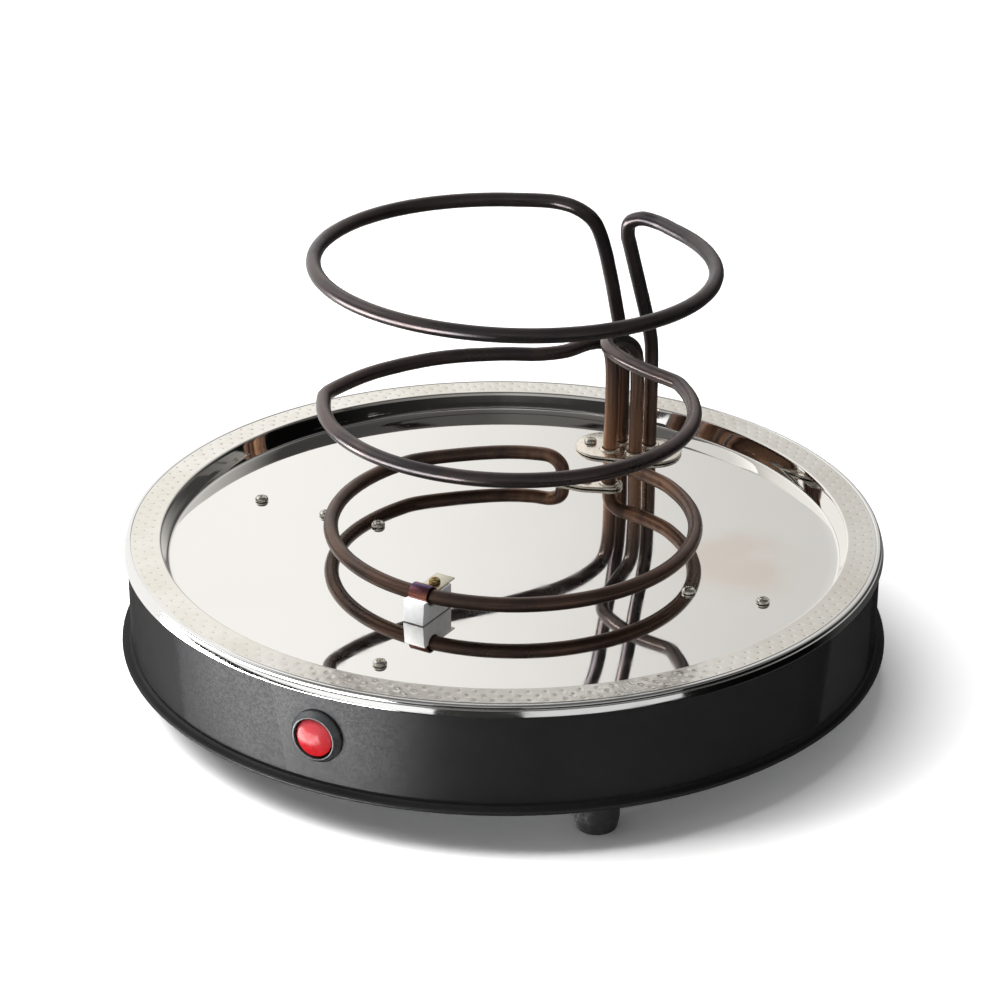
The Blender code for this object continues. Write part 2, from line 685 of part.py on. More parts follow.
def make_feet():
    top = COVER_Z - CLEARANCE
    seat = 8 * MM
    profile = [(FOOT_R, top), (FOOT_R, 5 * MM), (FOOT_R - 1.1 * MM, 0, 0.9 * MM), (3.9 * MM, 0),
               (3.9 * MM, seat), (BOLT_HOLE_R, seat), (BOLT_HOLE_R, top)]
    for name, place in foot_places().items():
        foot = turned(f"foot_{name}", profile, BLACK_RUBBER, 20, True, 1)
        foot.location = (place.x, place.y, 0)
        make_screw(f"foot_screw_{name}", place, seat - CLEARANCE, 20 * MM, NICKEL, 3.5 * MM,
                   2.4 * MM, BOLT_R, True)


def make_corner_brackets():
    """Angle pieces inside the drum that the feet's screws draw the cover against."""
    low = INSIDE_LOW_Z
    sheet = CORNER_BRACKET_SHEET
    outer = CORNER_BRACKET_R - FOOT_RING_R
    outline = [(-9 * MM, low), (outer, low, 1.4 * MM), (outer, low + 22 * MM),
               (outer - sheet, low + 22 * MM), (outer - sheet, low + sheet), (-9 * MM, low + sheet)]
    width = 16 * MM
    for name, angle in FOOT_ANGLES.items():
        place = foot_places()[name]
        bracket = extruded(f"corner_bracket_{name}", outline, width, GALVANISED)
        lay_along_x(bracket, 0, width)
        bracket.data.transform(Matrix.Rotation(-math.pi / 2, 4, "Z"))
        bracket.rotation_euler.z = angle
        bracket.location = (place.x, place.y, 0)
        drill(bracket, [place], BOLT_HOLE_R, low - 3 * MM, low + 6 * MM, 12)


# ---------------------------------------------------------------- inside the drum

def make_brace():
    """Inverted channel under the tray's floor that the row of floor screws bites into."""
    top = INSIDE_TOP_Z
    sheet = BRACKET_SHEET
    half, drop = 10 * MM, 10 * MM
    outline = [(-half, top - drop), (-half, top, 1.4 * MM), (half, top, 1.4 * MM),
               (half, top - drop), (half - sheet, top - drop), (half - sheet, top - sheet),
               (-half + sheet, top - sheet), (-half + sheet, top - drop)]
    outline.reverse()
    brace = extruded("tray_brace", outline, BRACE_LENGTH, GALVANISED)
    lay_along_x(brace, 0, BRACE_LENGTH)
    brace.location = (0, BRACE_Y, 0)
    brace.rotation_euler.z = BRACE_TURN
    drill(brace, brace_screw_places(), SCREW_SHANK_R + CLEARANCE, top - 5 * MM, top + 3 * MM, 8)


def make_front_bracket():
    """Angle piece from the tray's floor screw to the drum's wall, above the switch."""
    top = INSIDE_TOP_Z
    sheet = BRACKET_SHEET
    outer = FRONT_BRACKET_Y
    outline = [(outer, top - sheet), (-112 * MM, top - sheet), (-112 * MM, top),
               (outer + sheet, top), (outer + sheet, top + 7.5 * MM), (outer, top + 7.5 * MM)]
    width = 14 * MM
    bracket = extruded("front_bracket", outline, width, GALVANISED)
    lay_along_x(bracket, FRONT_SCREW.x, width)
    drill(bracket, [FRONT_SCREW], SCREW_SHANK_R + CLEARANCE, top - 5 * MM, top + 3 * MM, 8)


def make_centre_bolt():
    """Long bolt that ties the bottom cover to the brace, with its nut and spacer."""
    place = (0, BRACE_Y)
    nut_top = INSIDE_TOP_Z - BRACKET_SHEET - CLEARANCE
    make_screw("centre_bolt", place, COVER_Z - CLEARANCE, nut_top - COVER_Z, NICKEL, 4.5 * MM,
               2.6 * MM, BOLT_R, True)
    nut = turned("centre_nut", [(4 * MM, nut_top), (4 * MM, nut_top - 3.2 * MM),
                                (BOLT_HOLE_R, nut_top - 3.2 * MM), (BOLT_HOLE_R, nut_top)], NICKEL, 6)
    shield_low = SHIELD_Z - CLEARANCE
    spacer = turned("centre_spacer", [(4.5 * MM, shield_low), (4.5 * MM, INSIDE_LOW_Z),
                                      (BOLT_HOLE_R, INSIDE_LOW_Z), (BOLT_HOLE_R, shield_low)], GALVANISED, 16)
    for thing in (nut, spacer):
        thing.location = (*place, 0)


def make_heat_shield():
    """Disc between the hot tray and the wiring, open where the lower loop's ends pass."""
    shield = cylinder("heat_shield", SHIELD_R, SHIELD_Z, SHIELD_Z + SHEET, GALVANISED, 32)
    low, high = SHIELD_Z - 3 * MM, SHIELD_Z + 3 * MM
    slot = slot_cutter("shield_opening", 36 * MM, 13 * MM, low, high, LOWER_CENTRE, TOWER_TURN)
    combine(shield, slot, "DIFFERENCE")
    drill(shield, [(0, BRACE_Y)], BOLT_HOLE_R, low, high, 12)


def make_terminal_block():
    block = box("terminal_block", TERMINAL_BLOCK_SIZE, CERAMIC, 0.8 * MM)
    block.location = (TOWER_CENTRE.x, TOWER_CENTRE.y, INSIDE_LOW_Z)
    block.rotation_euler.z = TOWER_TURN


def make_thermal_cutout():
    top = INSIDE_TOP_Z
    profile = [(0, top), (8 * MM, top, 0.6 * MM), (8 * MM, top - 5 * MM), (6.5 * MM, top - 5 * MM),
               (6.5 * MM, top - 9 * MM, 0.6 * MM), (0, top - 9 * MM)]
    cutout = turned("thermal_cutout", profile, BLACK_PLASTIC, 16, False, 1)
    cutout.location = (*CUTOUT_PLACE, 0)


def make_earth_stud():
    low = INSIDE_LOW_Z
    profile = [(0, low + 12 * MM), (2 * MM, low + 12 * MM), (2 * MM, low + 5 * MM),
               (4 * MM, low + 5 * MM), (4 * MM, low), (0, low)]
    stud = turned("earth_stud", profile, BRASS, 12, False)
    stud.location = (*EARTH_STUD_PLACE, 0)


# ---------------------------------------------------------------- cord gland

def make_cord_gland():
    """Rubber grommet in the back wall. The cord itself is left out."""
    wall = WALL_R + CLEARANCE
    profile = [(CORD_BORE_R, NOSE_Y), (5.6 * MM, NOSE_Y, 0.6 * MM), (GLAND_FLANGE_R, wall + 1.8 * MM),
               (GLAND_FLANGE_R, wall), (GLAND_NECK_R, wall), (GLAND_NECK_R, GLAND_INSIDE_Y),
               (GLAND_FLANGE_R - 1 * MM, GLAND_INSIDE_Y),
               (GLAND_FLANGE_R - 1 * MM, GLAND_INSIDE_Y - 2 * MM),
               (CORD_BORE_R, GLAND_INSIDE_Y - 2 * MM)]
    gland = turned("cord_gland", profile, BLACK_RUBBER, 20, True, 1)
    gland.rotation_euler.x = -math.pi / 2
    gland.location = (0, 0, GLAND_Z)


def make_cord_clamp():
    """Saddle on the bottom cover behind the gland, where the cord would be held."""
    low = INSIDE_LOW_Z
    half, top = 12 * MM, GLAND_Z + 6 * MM
    bore = CORD_BORE_R + 0.4 * MM
    outline = [(-half, low), (-half, low + 3 * MM), (-half + 5 * MM, low + 3 * MM),
               (-half + 5 * MM, top, 3 * MM), (half - 5 * MM, top, 3 * MM),
               (half - 5 * MM, low + 3 * MM), (half, low + 3 * MM), (half, low)]
    outline.reverse()
    clamp = extruded("cord_clamp", outline, 9 * MM, BLACK_PLASTIC)
    clamp.data.transform(Matrix.Rotation(math.pi / 2, 4, "X"))
    clamp.location = (0, CORD_CLAMP_Y, 0)
    cutter = cylinder("cord_path", bore, -20 * MM, 20 * MM, GALVANISED, 16, CUTTERS)
    cutter.rotation_euler.x = math.pi / 2
    cutter.location = (0, CORD_CLAMP_Y, GLAND_Z)
    combine(clamp, cutter, "DIFFERENCE")


# ---------------------------------------------------------------- switch

def face_front(thing):
    """Turn an object made about Z, with its top at the front, to face -Y at the switch."""
    thing.rotation_euler.x = math.pi / 2
    thing.location = (SWITCH_X, 0, SWITCH_Z)


def make_switch():
    """Round rocker switch: bezel, housing, two tabs behind it, and the red rocker."""
    base = WALL_R + CLEARANCE
    front = base + 3.3 * MM
    bezel = turned("switch_bezel", [
        (SWITCH_BORE_R, front, 0.4 * MM), (BEZEL_R - 1.7 * MM, front, 0.7 * MM),
        (BEZEL_R, base + 1 * MM, 0.5 * MM),
        (BEZEL_R, base), (SLEEVE_R, base), (SLEEVE_R, SLEEVE_END_Y), (SWITCH_BORE_R, SLEEVE_END_Y),
    ], BLACK_PLASTIC, 24, True, 1)
    housing_front = SLEEVE_END_Y - CLEARANCE
    housing = turned("switch_housing", [
        (0, housing_front - 1.5 * MM), (SWITCH_BORE_R - 1 * MM, housing_front - 1.5 * MM),
        (SWITCH_BORE_R, housing_front), (SLEEVE_R, housing_front), (SLEEVE_R, HOUSING_REAR_Y, 0.8 * MM),
        (0, HOUSING_REAR_Y),
    ], BLACK_PLASTIC, 20, False, 1)
    for thing in (bezel, housing):
        face_front(thing)
    for name, side in (("left", -1), ("right", 1)):
        tab = box(f"switch_tab_{name}", TAB_SIZE, BRASS)
        tab.location = (SWITCH_X + side * TAB_OFFSET, CLEARANCE + TAB_SIZE[1] / 2 - HOUSING_REAR_Y,
                        SWITCH_Z - TAB_SIZE[2] / 2)
    make_rocker()


def make_rocker():
    """The red lens, which turns about X on an empty at its pivot."""
    pivot = bpy.data.objects.new("rocker_pivot", None)
    PARTS.objects.link(pivot)
    pivot.location = (SWITCH_X, SWITCH_PIVOT_Y, SWITCH_Z)
    pivot.rotation_euler.x = -ROCKER_TILT
    apex = NOSE_Y + SWITCH_PIVOT_Y
    rim = apex - 2.2 * MM
    dome_r = (ROCKER_R ** 2 + (apex - rim) ** 2) / (2 * (apex - rim))
    profile = [(0, apex)]
    for step in range(1, 5):
        radius = ROCKER_R * step / 5
        profile.append((radius, apex - dome_r + math.sqrt(dome_r ** 2 - radius ** 2)))
    profile += [(ROCKER_R, rim, 0.5 * MM), (ROCKER_R, rim - 2.4 * MM), (6.0 * MM, -2.2 * MM),
                (0, -2.2 * MM)]
    rocker = turned("switch_rocker", profile, RED_LENS, 24, False, 1)
    rocker.parent = pivot
    rocker.rotation_euler.x = math.pi / 2


def build():
    make_skirt()
    make_tray()
    make_bottom_cover()
    make_lower_loop()
    make_middle_loop()
    make_upper_loop()
    make_element_terminals()
    make_rear_flange()
    make_front_flange()
    make_standoff()
    make_clamp()
    make_screws()
    make_feet()
    make_corner_brackets()
    make_brace()
    make_front_bracket()
    make_centre_bolt()
    make_heat_shield()
    make_terminal_block()
    make_thermal_cutout()
    make_earth_stud()
    make_cord_gland()
    make_cord_clamp()
    make_switch()


build()
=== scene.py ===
"""Looks of the hot plate burner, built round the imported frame.

Lengths are in metres in the frame's own axes: +Z up, -Y the front with the switch.
"""

import json
import math

import bmesh
import bpy
from mathutils import Matrix, Vector


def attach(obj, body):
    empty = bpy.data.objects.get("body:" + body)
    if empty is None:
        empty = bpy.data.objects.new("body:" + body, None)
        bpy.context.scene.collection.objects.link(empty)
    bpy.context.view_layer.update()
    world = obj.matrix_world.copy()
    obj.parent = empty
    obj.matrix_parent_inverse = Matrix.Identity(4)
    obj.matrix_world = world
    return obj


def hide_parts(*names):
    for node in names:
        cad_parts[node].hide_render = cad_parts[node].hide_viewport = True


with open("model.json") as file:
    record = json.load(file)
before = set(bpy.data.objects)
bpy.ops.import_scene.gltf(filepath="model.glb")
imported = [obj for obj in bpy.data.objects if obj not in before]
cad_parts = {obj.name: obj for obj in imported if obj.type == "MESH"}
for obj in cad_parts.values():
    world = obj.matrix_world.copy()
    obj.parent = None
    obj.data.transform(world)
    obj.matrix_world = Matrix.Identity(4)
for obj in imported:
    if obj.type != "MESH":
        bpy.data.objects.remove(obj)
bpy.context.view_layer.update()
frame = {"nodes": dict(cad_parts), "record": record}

MM = 0.001
CLEARANCE = 0.3 * MM

# The drum and the tray
RIM_Z = 66.5 * MM
FLOOR_Z = 57.8 * MM
HEM_Z = 18.5 * MM
SHEET = 0.8 * MM
WALL_R = 165.0 * MM
WALL_THICKNESS = 1.0 * MM
HEM_R = 169.0 * MM
HEM_HEIGHT = 1.8 * MM
RIM_START_R = 150.6 * MM
LIP_START_R = 162.9 * MM
TOWER_OPENING = (33 * MM, 22 * MM)
LOWER_OPENING = (30 * MM, 8 * MM)
COVER_Z = 20.0 * MM
NOSE_Y = 169.9 * MM
CUT_REACH = 3 * MM

# The vent slots in the bottom cover
VENT_LENGTH = 42 * MM
VENT_WIDTH = 5 * MM
VENT_X = 62 * MM
VENT_PITCH = 16 * MM
VENT_ROWS = 5

# The heating loops and their tower
TUBE_R = 3.25 * MM
LOWER_Z = 68.7 * MM
MIDDLE_Z = 123.8 * MM
UPPER_Z = 187.4 * MM
TUBE_END_Z = 46.0 * MM
TOWER_CENTRE = Vector((5.6, 117.3)) * MM
TOWER_TURN = math.radians(11)
TOWER_ROW = 5.2 * MM
FRONT_HALF = 6.1 * MM
REAR_HALF = 6.9 * MM
ROW_SHIFT = 1.8 * MM
LOWER_CENTRE = Vector((4.2, 74.3)) * MM
LOWER_HALF = 10.9 * MM
PLATE_THICKNESS = 1.2 * MM
COLLAR_R = 4.75 * MM
COLLAR_HEIGHT = 2.2 * MM
REAR_SCREW_REACH = 18.5 * MM

# Screws
SCREW_HEAD_R = 3.0 * MM
SCREW_HEAD_HEIGHT = 2.0 * MM
SCREW_SHANK_R = 1.5 * MM
PAN_SCREW_LENGTH = 8 * MM
CLAMP_SCREW_LENGTH = 6 * MM
BOLT_SHANK_R = 2 * MM
BOLT_HOLE_R = 2.3 * MM
CENTRE_BOLT_HEAD = (4.5 * MM, 2.6 * MM)
BRACE_SHEET = 1.2 * MM
BRACE_Y = -5.5 * MM
BRACE_TURN = math.radians(2.5)
# Each floor screw's place along the brace and its offset from the middle line, in mm
BRACE_SCREWS = [(-117.6, -0.6), (-84.0, -2.2), (-57.6, -2.2), (92.1, -4.6), (123.9, 0)]
BRACE_SCREW_TURNS = [18, 52, 71, 33, 8]
FRONT_SCREW = Vector((7.4, -124.9)) * MM

# Feet
FOOT_R = 9.5 * MM
FOOT_RING_R = 149.0 * MM
FOOT_ANGLES = {"front_right": -48, "rear_right": 48, "rear_left": 132, "front_left": -132}
FOOT_SEAT_Z = 8 * MM
FOOT_RECESS_R = 3.9 * MM
FOOT_SCREW_HEAD = (3.5 * MM, 2.4 * MM)
FOOT_SCREW_LENGTH = 20 * MM

# The standoff and its strap
STANDOFF_X = 2.7 * MM
STANDOFF_TURN = math.radians(-3.7)
STANDOFF_WIDTH = 10 * MM
STANDOFF_FRONT_Y = -87.2 * MM
STANDOFF_REAR_Y = -64.8 * MM
STANDOFF_TOP_Z = FLOOR_Z + 11.2 * MM
STANDOFF_FRONT_Z = FLOOR_Z + 10.4 * MM
STANDOFF_LEAN = 0.8 * MM
LOOP_FRONT_Y = -79.5 * MM
SEAT_R = TUBE_R + 2 * CLEARANCE
STRAP_WIDTH = 9 * MM
STRAP_THICKNESS = 0.7 * MM
STRAP_REAR_Y = -61.2 * MM
CLAMP_SCREW_Y = -70.0 * MM
CLAMP_SCREW_R = 2.5 * MM

# The switch and the cord gland
SWITCH_X = 1.0 * MM
SWITCH_Z = 43.0 * MM
SWITCH_PIVOT_Y = -163.6 * MM
ROCKER_TILT = math.radians(5)
BEZEL_R = 11.4 * MM
BEZEL_HEIGHT = 3.3 * MM
SWITCH_BORE_R = 8.8 * MM
ROCKER_R = 8.1 * MM
LENS_DOME = 2.2 * MM
LENS_BACK = -2.2 * MM
SLEEVE_R = 9.6 * MM
SLEEVE_END_Y = 160.2 * MM
GLAND_Z = 36 * MM
GLAND_NECK_R = 6.4 * MM
GLAND_FLANGE_R = 9 * MM
CORD_BORE_R = 3.9 * MM
GLAND_INSIDE_Y = 163.3 * MM

# Rows of pressed dots on the rim
DOTS_PER_ROW = 140
STEPS_PER_DOT = 8
DOT_ROWS = [154.0 * MM, 157.6 * MM, 161.2 * MM]
DOT_REACH = 0.85 * MM
DOT_DEPTH = 0.32 * MM
DOT_MARKS_R = (152 * MM, 162.5 * MM)
TOLERANCE = 0.01 * MM

# A heat stain on the pan's floor, and painted shade broken into smudges on the front of the rim
STAIN_PLACE = (0.098, 0.030, FLOOR_Z)
STAIN_REACH = 0.055
RIM_FRONT_SHADE_PLACE = (0.035, -0.152, RIM_Z)
RIM_FRONT_SHADE_REACH = 0.12

# The camera: its distance from the middle of the rim, its angles from the front and from
# level, and how far it is then moved to its own right and up
CAMERA_DISTANCE = 1.392
CAMERA_AZIMUTH = math.radians(27.2)
CAMERA_ELEVATION = math.radians(24.96)
CAMERA_ROLL = math.radians(0.24)
CAMERA_ASIDE = -1.7158 * MM
CAMERA_RAISED = 11.2627 * MM
FOCAL_LENGTH_MM = 113.904

# Brightness of the studio round the object, as a share of full white
FRONT_BAND_LEVEL = 0.42
DARK_LEVEL = 0.035
AMBIENT_LEVEL = 0.36


# -------------------------------- node materials

class Shade:
    """A Principled material with short calls for the nodes that feed it."""

    def __init__(self, name, color, roughness, metallic=0.0, **sockets):
        self.material = bpy.data.materials.new(name)
        self.material.use_nodes = True
        self.tree = self.material.node_tree
        self.shader = self.tree.nodes["Principled BSDF"]
        self.set("Base Color", (*color, 1.0))
        self.set("Roughness", roughness)
        self.set("Metallic", metallic)
        for socket, value in sockets.items():
            self.set(socket.replace("_", " "), value)
        self.place = self.add("ShaderNodeTexCoord").outputs["Object"]

    def add(self, kind, inputs=None, **settings):
        node = self.tree.nodes.new(kind)
        for key, value in settings.items():
            setattr(node, key, value)
        for key, value in (inputs or {}).items():
            self.feed(node.inputs[key], value)
        return node

    def feed(self, socket, value):
        if isinstance(value, bpy.types.NodeSocket):
            self.tree.links.new(value, socket)
        else:
            socket.default_value = value

    def set(self, socket, value):
        self.feed(self.shader.inputs[socket], value)

    def noise(self, scale, detail=3.0, stretch=(1, 1, 1)):
        mapping = self.add("ShaderNodeMapping", {"Vector": self.place, "Scale": stretch})
        return self.add("ShaderNodeTexNoise", {"Vector": mapping.outputs[0], "Scale": scale,
                                               "Detail": detail, "Roughness": 0.5}).outputs[0]

    def remap(self, value, low, high, to_low=0.0, to_high=1.0, smooth=True):
        kind = "SMOOTHSTEP" if smooth else "LINEAR"
        return self.add("ShaderNodeMapRange", {"Value": value, "From Min": low, "From Max": high,
                                               "To Min": to_low, "To Max": to_high},
                        interpolation_type=kind).outputs[0]

    def mix(self, factor, first, second):
        node = self.add("ShaderNodeMix", data_type="RGBA")
        self.feed(node.inputs["Factor"], factor)
        for name, value in (("A", first), ("B", second)):
            socket = next(s for s in node.inputs if s.name == name and s.type == "RGBA")
            self.feed(socket, (*value, 1.0) if isinstance(value, tuple) else value)
        return next(s for s in node.outputs if s.type == "RGBA")

    def ramp(self, value, stops):
        node = self.add("ShaderNodeValToRGB", {"Fac": value})
        elements = node.color_ramp.elements
        while len(elements) < len(stops):
            elements.new(0.5)
        for element, (position, color) in zip(elements, stops):
            element.position = position
            element.color = (*color, 1.0)
        return node.outputs[0]

    def math(self, operation, first, second=0.0):
        return self.add("ShaderNodeMath", {0: first, 1: second}, operation=operation).outputs[0]

    def axis(self, name):
        return self.add("ShaderNodeSeparateXYZ", {0: self.place}).outputs[name]

    def near(self, point, reach):
        """1 at a point, falling smoothly to 0 at the given distance."""
        gap = self.add("ShaderNodeVectorMath", {0: self.place, 1: point}, operation="DISTANCE")
        return self.remap(gap.outputs["Value"], 0.0, reach, 1.0, 0.0)

    def bump(self, height, distance):
        """Roughen the surface. A height of 1 stands the given distance in metres proud."""
        node = self.add("ShaderNodeBump", {"Height": height, "Distance": distance})
        self.set("Normal", node.outputs[0])


def polished_pan():
    """A near mirror with faint haze, long ripples and one warm heat stain."""
    shade = Shade("polished_stainless_pan", (0.90, 0.88, 0.845), 0.03, 1.0)
    blotch = shade.math("MULTIPLY", shade.near(STAIN_PLACE, STAIN_REACH), shade.noise(38, 4))
    tint = shade.remap(blotch, 0.08, 0.5, 0.0, 0.6)
    haze = shade.remap(shade.noise(9, 2), 0.35, 0.75, 0.0, 0.35)
    base = shade.mix(haze, (0.875, 0.865, 0.84), (0.85, 0.835, 0.805))
    shade.set("Base Color", shade.mix(tint, base, (0.80, 0.70, 0.60)))
    shade.set("Roughness", shade.remap(shade.noise(120, 3), 0.3, 0.8, 0.02, 0.055))
    shade.bump(shade.noise(14, 1), 0.00025)
    return shade.material


def dimpled_rim():
    """Darker in the pressed dots with painted shade, and darkened across the front with painted
    shade broken into smudges.
    """
    shade = Shade("polished_stainless_rim", (0.84, 0.82, 0.77), 0.16, 1.0)
    cloud = shade.remap(shade.noise(30, 4), 0.35, 0.7)
    metal = shade.mix(cloud, (0.88, 0.86, 0.81), (0.80, 0.77, 0.70))
    # Painted shade: the front of the rim is darkened in the colour, broken up by noise into
    # smudges.
    front_shade = shade.remap(shade.near(RIM_FRONT_SHADE_PLACE, RIM_FRONT_SHADE_REACH), 0.0, 1.0, 0.0, 0.75)
    shade_smudges = shade.math("MULTIPLY", front_shade, shade.remap(shade.noise(45, 3), 0.25, 0.7, 0.5, 1.0))
    metal = shade.mix(shade_smudges, metal, (0.55, 0.53, 0.50))
    # Painted shade: the colour is darkened inside the pressed dots.
    pressed = shade.add("ShaderNodeAttribute", attribute_name="dots").outputs["Fac"]
    shade.set("Base Color", shade.mix(shade.remap(pressed, 0.25, 1.0), metal, (0.48, 0.45, 0.41)))
    shade.set("Roughness", shade.remap(shade.noise(260, 3), 0.3, 0.7, 0.12, 0.24))
    shade.bump(shade.noise(60, 2), 0.00006)
    return shade.material


def chrome_lip():
    shade = Shade("polished_stainless_lip", (0.86, 0.86, 0.85), 0.07, 1.0)
    shade.set("Roughness", shade.remap(shade.noise(90, 3, (1, 1, 6)), 0.3, 0.75, 0.05, 0.13))
    shade.bump(shade.noise(22, 2), 0.00012)
    return shade.material


def oxidised_sheath(name, brown, grey, copper_height):
    """Heat-darkened tube: grey-brown, with copper tints close above the tray."""
    shade = Shade(name, brown, 0.36, 0.9)
    patches = shade.remap(shade.noise(34, 4), 0.38, 0.68)
    base = shade.mix(patches, brown, grey)
    low = shade.remap(shade.axis("Z"), FLOOR_Z, copper_height, 1.0, 0.0)
    at_back = shade.remap(shade.axis("Y"), 45 * MM, 85 * MM)
    streaks = shade.remap(shade.noise(110, 3, (1, 1, 0.08)), 0.32, 0.66, 0.1, 1.0)
    copper = shade.math("MULTIPLY", shade.math("MULTIPLY", low, at_back), streaks)
    shade.set("Base Color", shade.mix(copper, base, (0.46, 0.25, 0.15)))
    shade.set("Roughness", shade.remap(shade.noise(90, 3, (1, 1, 0.3)), 0.3, 0.75, 0.26, 0.38))
    shade.bump(shade.noise(1400, 2), 0.00002)
    return shade.material


def bright_steel(name, color, roughness, darkest=0.75):
    shade = Shade(name, color, roughness, 1.0)
    darker = tuple(c * darkest for c in color)
    shade.set("Base Color", shade.mix(shade.remap(shade.noise(420, 3), 0.4, 0.7), color, darker))
    low, high = roughness * 0.7, roughness * 1.5
    shade.set("Roughness", shade.remap(shade.noise(600, 2), 0.3, 0.7, low, high))
    return shade.material


def heat_tinted_strap():
    """Copper and violet where the strap bends over the tube, straw-coloured on its flat end."""
    shade = Shade("heat_tinted_strap", (0.45, 0.27, 0.24), 0.26, 1.0)
    waver = shade.math("MULTIPLY", shade.noise(300, 3), 0.0022)
    along = shade.math("ADD", shade.axis("Y"), waver)
    position = shade.remap(along, -83.8 * MM, -70.0 * MM, smooth=False)
    stops = [(0.0, (0.36, 0.14, 0.08)), (0.2, (0.26, 0.11, 0.13)), (0.34, (0.13, 0.10, 0.22)),
             (0.48, (0.26, 0.10, 0.12)), (0.62, (0.55, 0.28, 0.16)), (0.74, (0.70, 0.58, 0.40)),
             (1.0, (0.78, 0.73, 0.60))]
    shade.set("Base Color", shade.ramp(position, stops))
    shade.bump(shade.noise(900, 2), 0.00004)
    return shade.material


def white_ceramic():
    shade = Shade("white_ceramic", (0.86, 0.87, 0.87), 0.38, 0.0)
    grain = shade.remap(shade.noise(240, 4), 0.35, 0.72)
    shade.set("Base Color", shade.mix(grain, (0.89, 0.90, 0.90), (0.80, 0.81, 0.82)))
    shade.set("Roughness", shade.remap(shade.noise(500, 2), 0.3, 0.7, 0.3, 0.5))
    shade.bump(shade.noise(1600, 2), 0.00005)
    return shade.material


def satin_black_paint():
    """Metallic weight with a dark edge tint, so that the drum's sides don't brighten."""
    shade = Shade("satin_black_paint", (0.045, 0.045, 0.046), 0.46, 0.75, IOR=1.14,
                  Specular_Tint=(0.12, 0.12, 0.12, 1.0))
    cloud = shade.remap(shade.noise(26, 3), 0.3, 0.75)
    shade.set("Base Color", shade.mix(cloud, (0.048, 0.048, 0.049), (0.057, 0.057, 0.057)))
    shade.set("Roughness", shade.remap(shade.noise(700, 2), 0.3, 0.75, 0.44, 0.50))
    shade.bump(shade.noise(1100, 3), 0.00002)
    return shade.material


def red_lens():
    shade = Shade("red_lens", (0.5, 0.004, 0.006), 0.24, 0.0, IOR=1.34)
    # Painted highlight: the lens colour turns paler and pinker towards its top.
    top_highlight = shade.remap(shade.axis("Z"), SWITCH_Z - ROCKER_R, SWITCH_Z + ROCKER_R)
    shade.set("Base Color", shade.mix(top_highlight, (0.50, 0.004, 0.008), (0.40, 0.040, 0.050)))
    shade.set("Roughness", shade.remap(shade.noise(260, 2), 0.3, 0.7, 0.2, 0.3))
    return shade.material


def dark_moulding(name, color, roughness, grain):
    shade = Shade(name, color, roughness, 0.0)
    lighter = tuple(c * 1.5 for c in color)
    shade.set("Base Color", shade.mix(shade.remap(shade.noise(90, 3), 0.4, 0.75), color, lighter))
    low, high = roughness * 0.85, roughness * 1.15
    shade.set("Roughness", shade.remap(shade.noise(800, 2), 0.3, 0.7, low, high))
    shade.bump(shade.noise(1500, 2), grain)
    return shade.material


def galvanised_steel():
    shade = Shade("galvanised_steel", (0.55, 0.56, 0.57), 0.42, 1.0)
    cells = shade.add("ShaderNodeTexVoronoi", {"Vector": shade.place, "Scale": 140})
    spangle = shade.add("ShaderNodeSeparateXYZ", {0: cells.outputs["Color"]}).outputs[0]
    shade.set("Base Color", shade.mix(spangle, (0.50, 0.51, 0.52), (0.66, 0.67, 0.68)))
    shade.set("Roughness", shade.remap(spangle, 0.0, 1.0, 0.34, 0.52))
    shade.bump(shade.noise(500, 3), 0.00005)
    return shade.material


PAN = polished_pan()
RIM = dimpled_rim()
LIP = chrome_lip()
SHEATHS = {name: oxidised_sheath(f"oxidised_sheath_{name}", brown, grey, copper_height)
           for name, brown, grey, copper_height in (
               ("lower", (0.125, 0.078, 0.060), (0.066, 0.050, 0.048), 88 * MM),
               ("middle", (0.120, 0.094, 0.088), (0.075, 0.067, 0.072), 118 * MM),
               ("upper", (0.098, 0.080, 0.078), (0.066, 0.060, 0.066), 122 * MM))}
NICKEL = bright_steel("nickel_screw", (0.82, 0.79, 0.72), 0.2)
BRASS = bright_steel("brass_screw", (0.60, 0.44, 0.20), 0.22)
PLATE = bright_steel("polished_stainless_plate", (0.90, 0.84, 0.74), 0.22, 0.92)
STRAP = heat_tinted_strap()
CERAMIC = white_ceramic()
PAINT = satin_black_paint()
LENS = red_lens()
PLASTIC = dark_moulding("black_plastic", (0.034, 0.035, 0.037), 0.32, 0.00003)
RUBBER = dark_moulding("black_rubber", (0.026, 0.026, 0.026), 0.62, 0.00008)
GALVANISED = galvanised_steel()

SLOT_MATERIALS = {
    "polished_stainless": PLATE, "satin_black_paint": PAINT, "oxidised_sheath": SHEATHS["lower"],
    "nickel_screw": NICKEL, "brass_screw": BRASS, "heat_tinted_strap": STRAP,
    "white_ceramic": CERAMIC, "red_lens": LENS, "black_plastic": PLASTIC,
    "black_rubber": RUBBER, "galvanised_steel": GALVANISED,
}


# -------------------------------- mesh helpers

def keep(thing, node, body="base"):
    """The piece rides on its body and stands for its CAD node, which is hidden."""
    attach(thing, body)
    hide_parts(node)


def smooth(mesh, angle=35):
    mesh.shade_smooth()
    mesh.set_sharp_from_angle(angle=math.radians(angle))


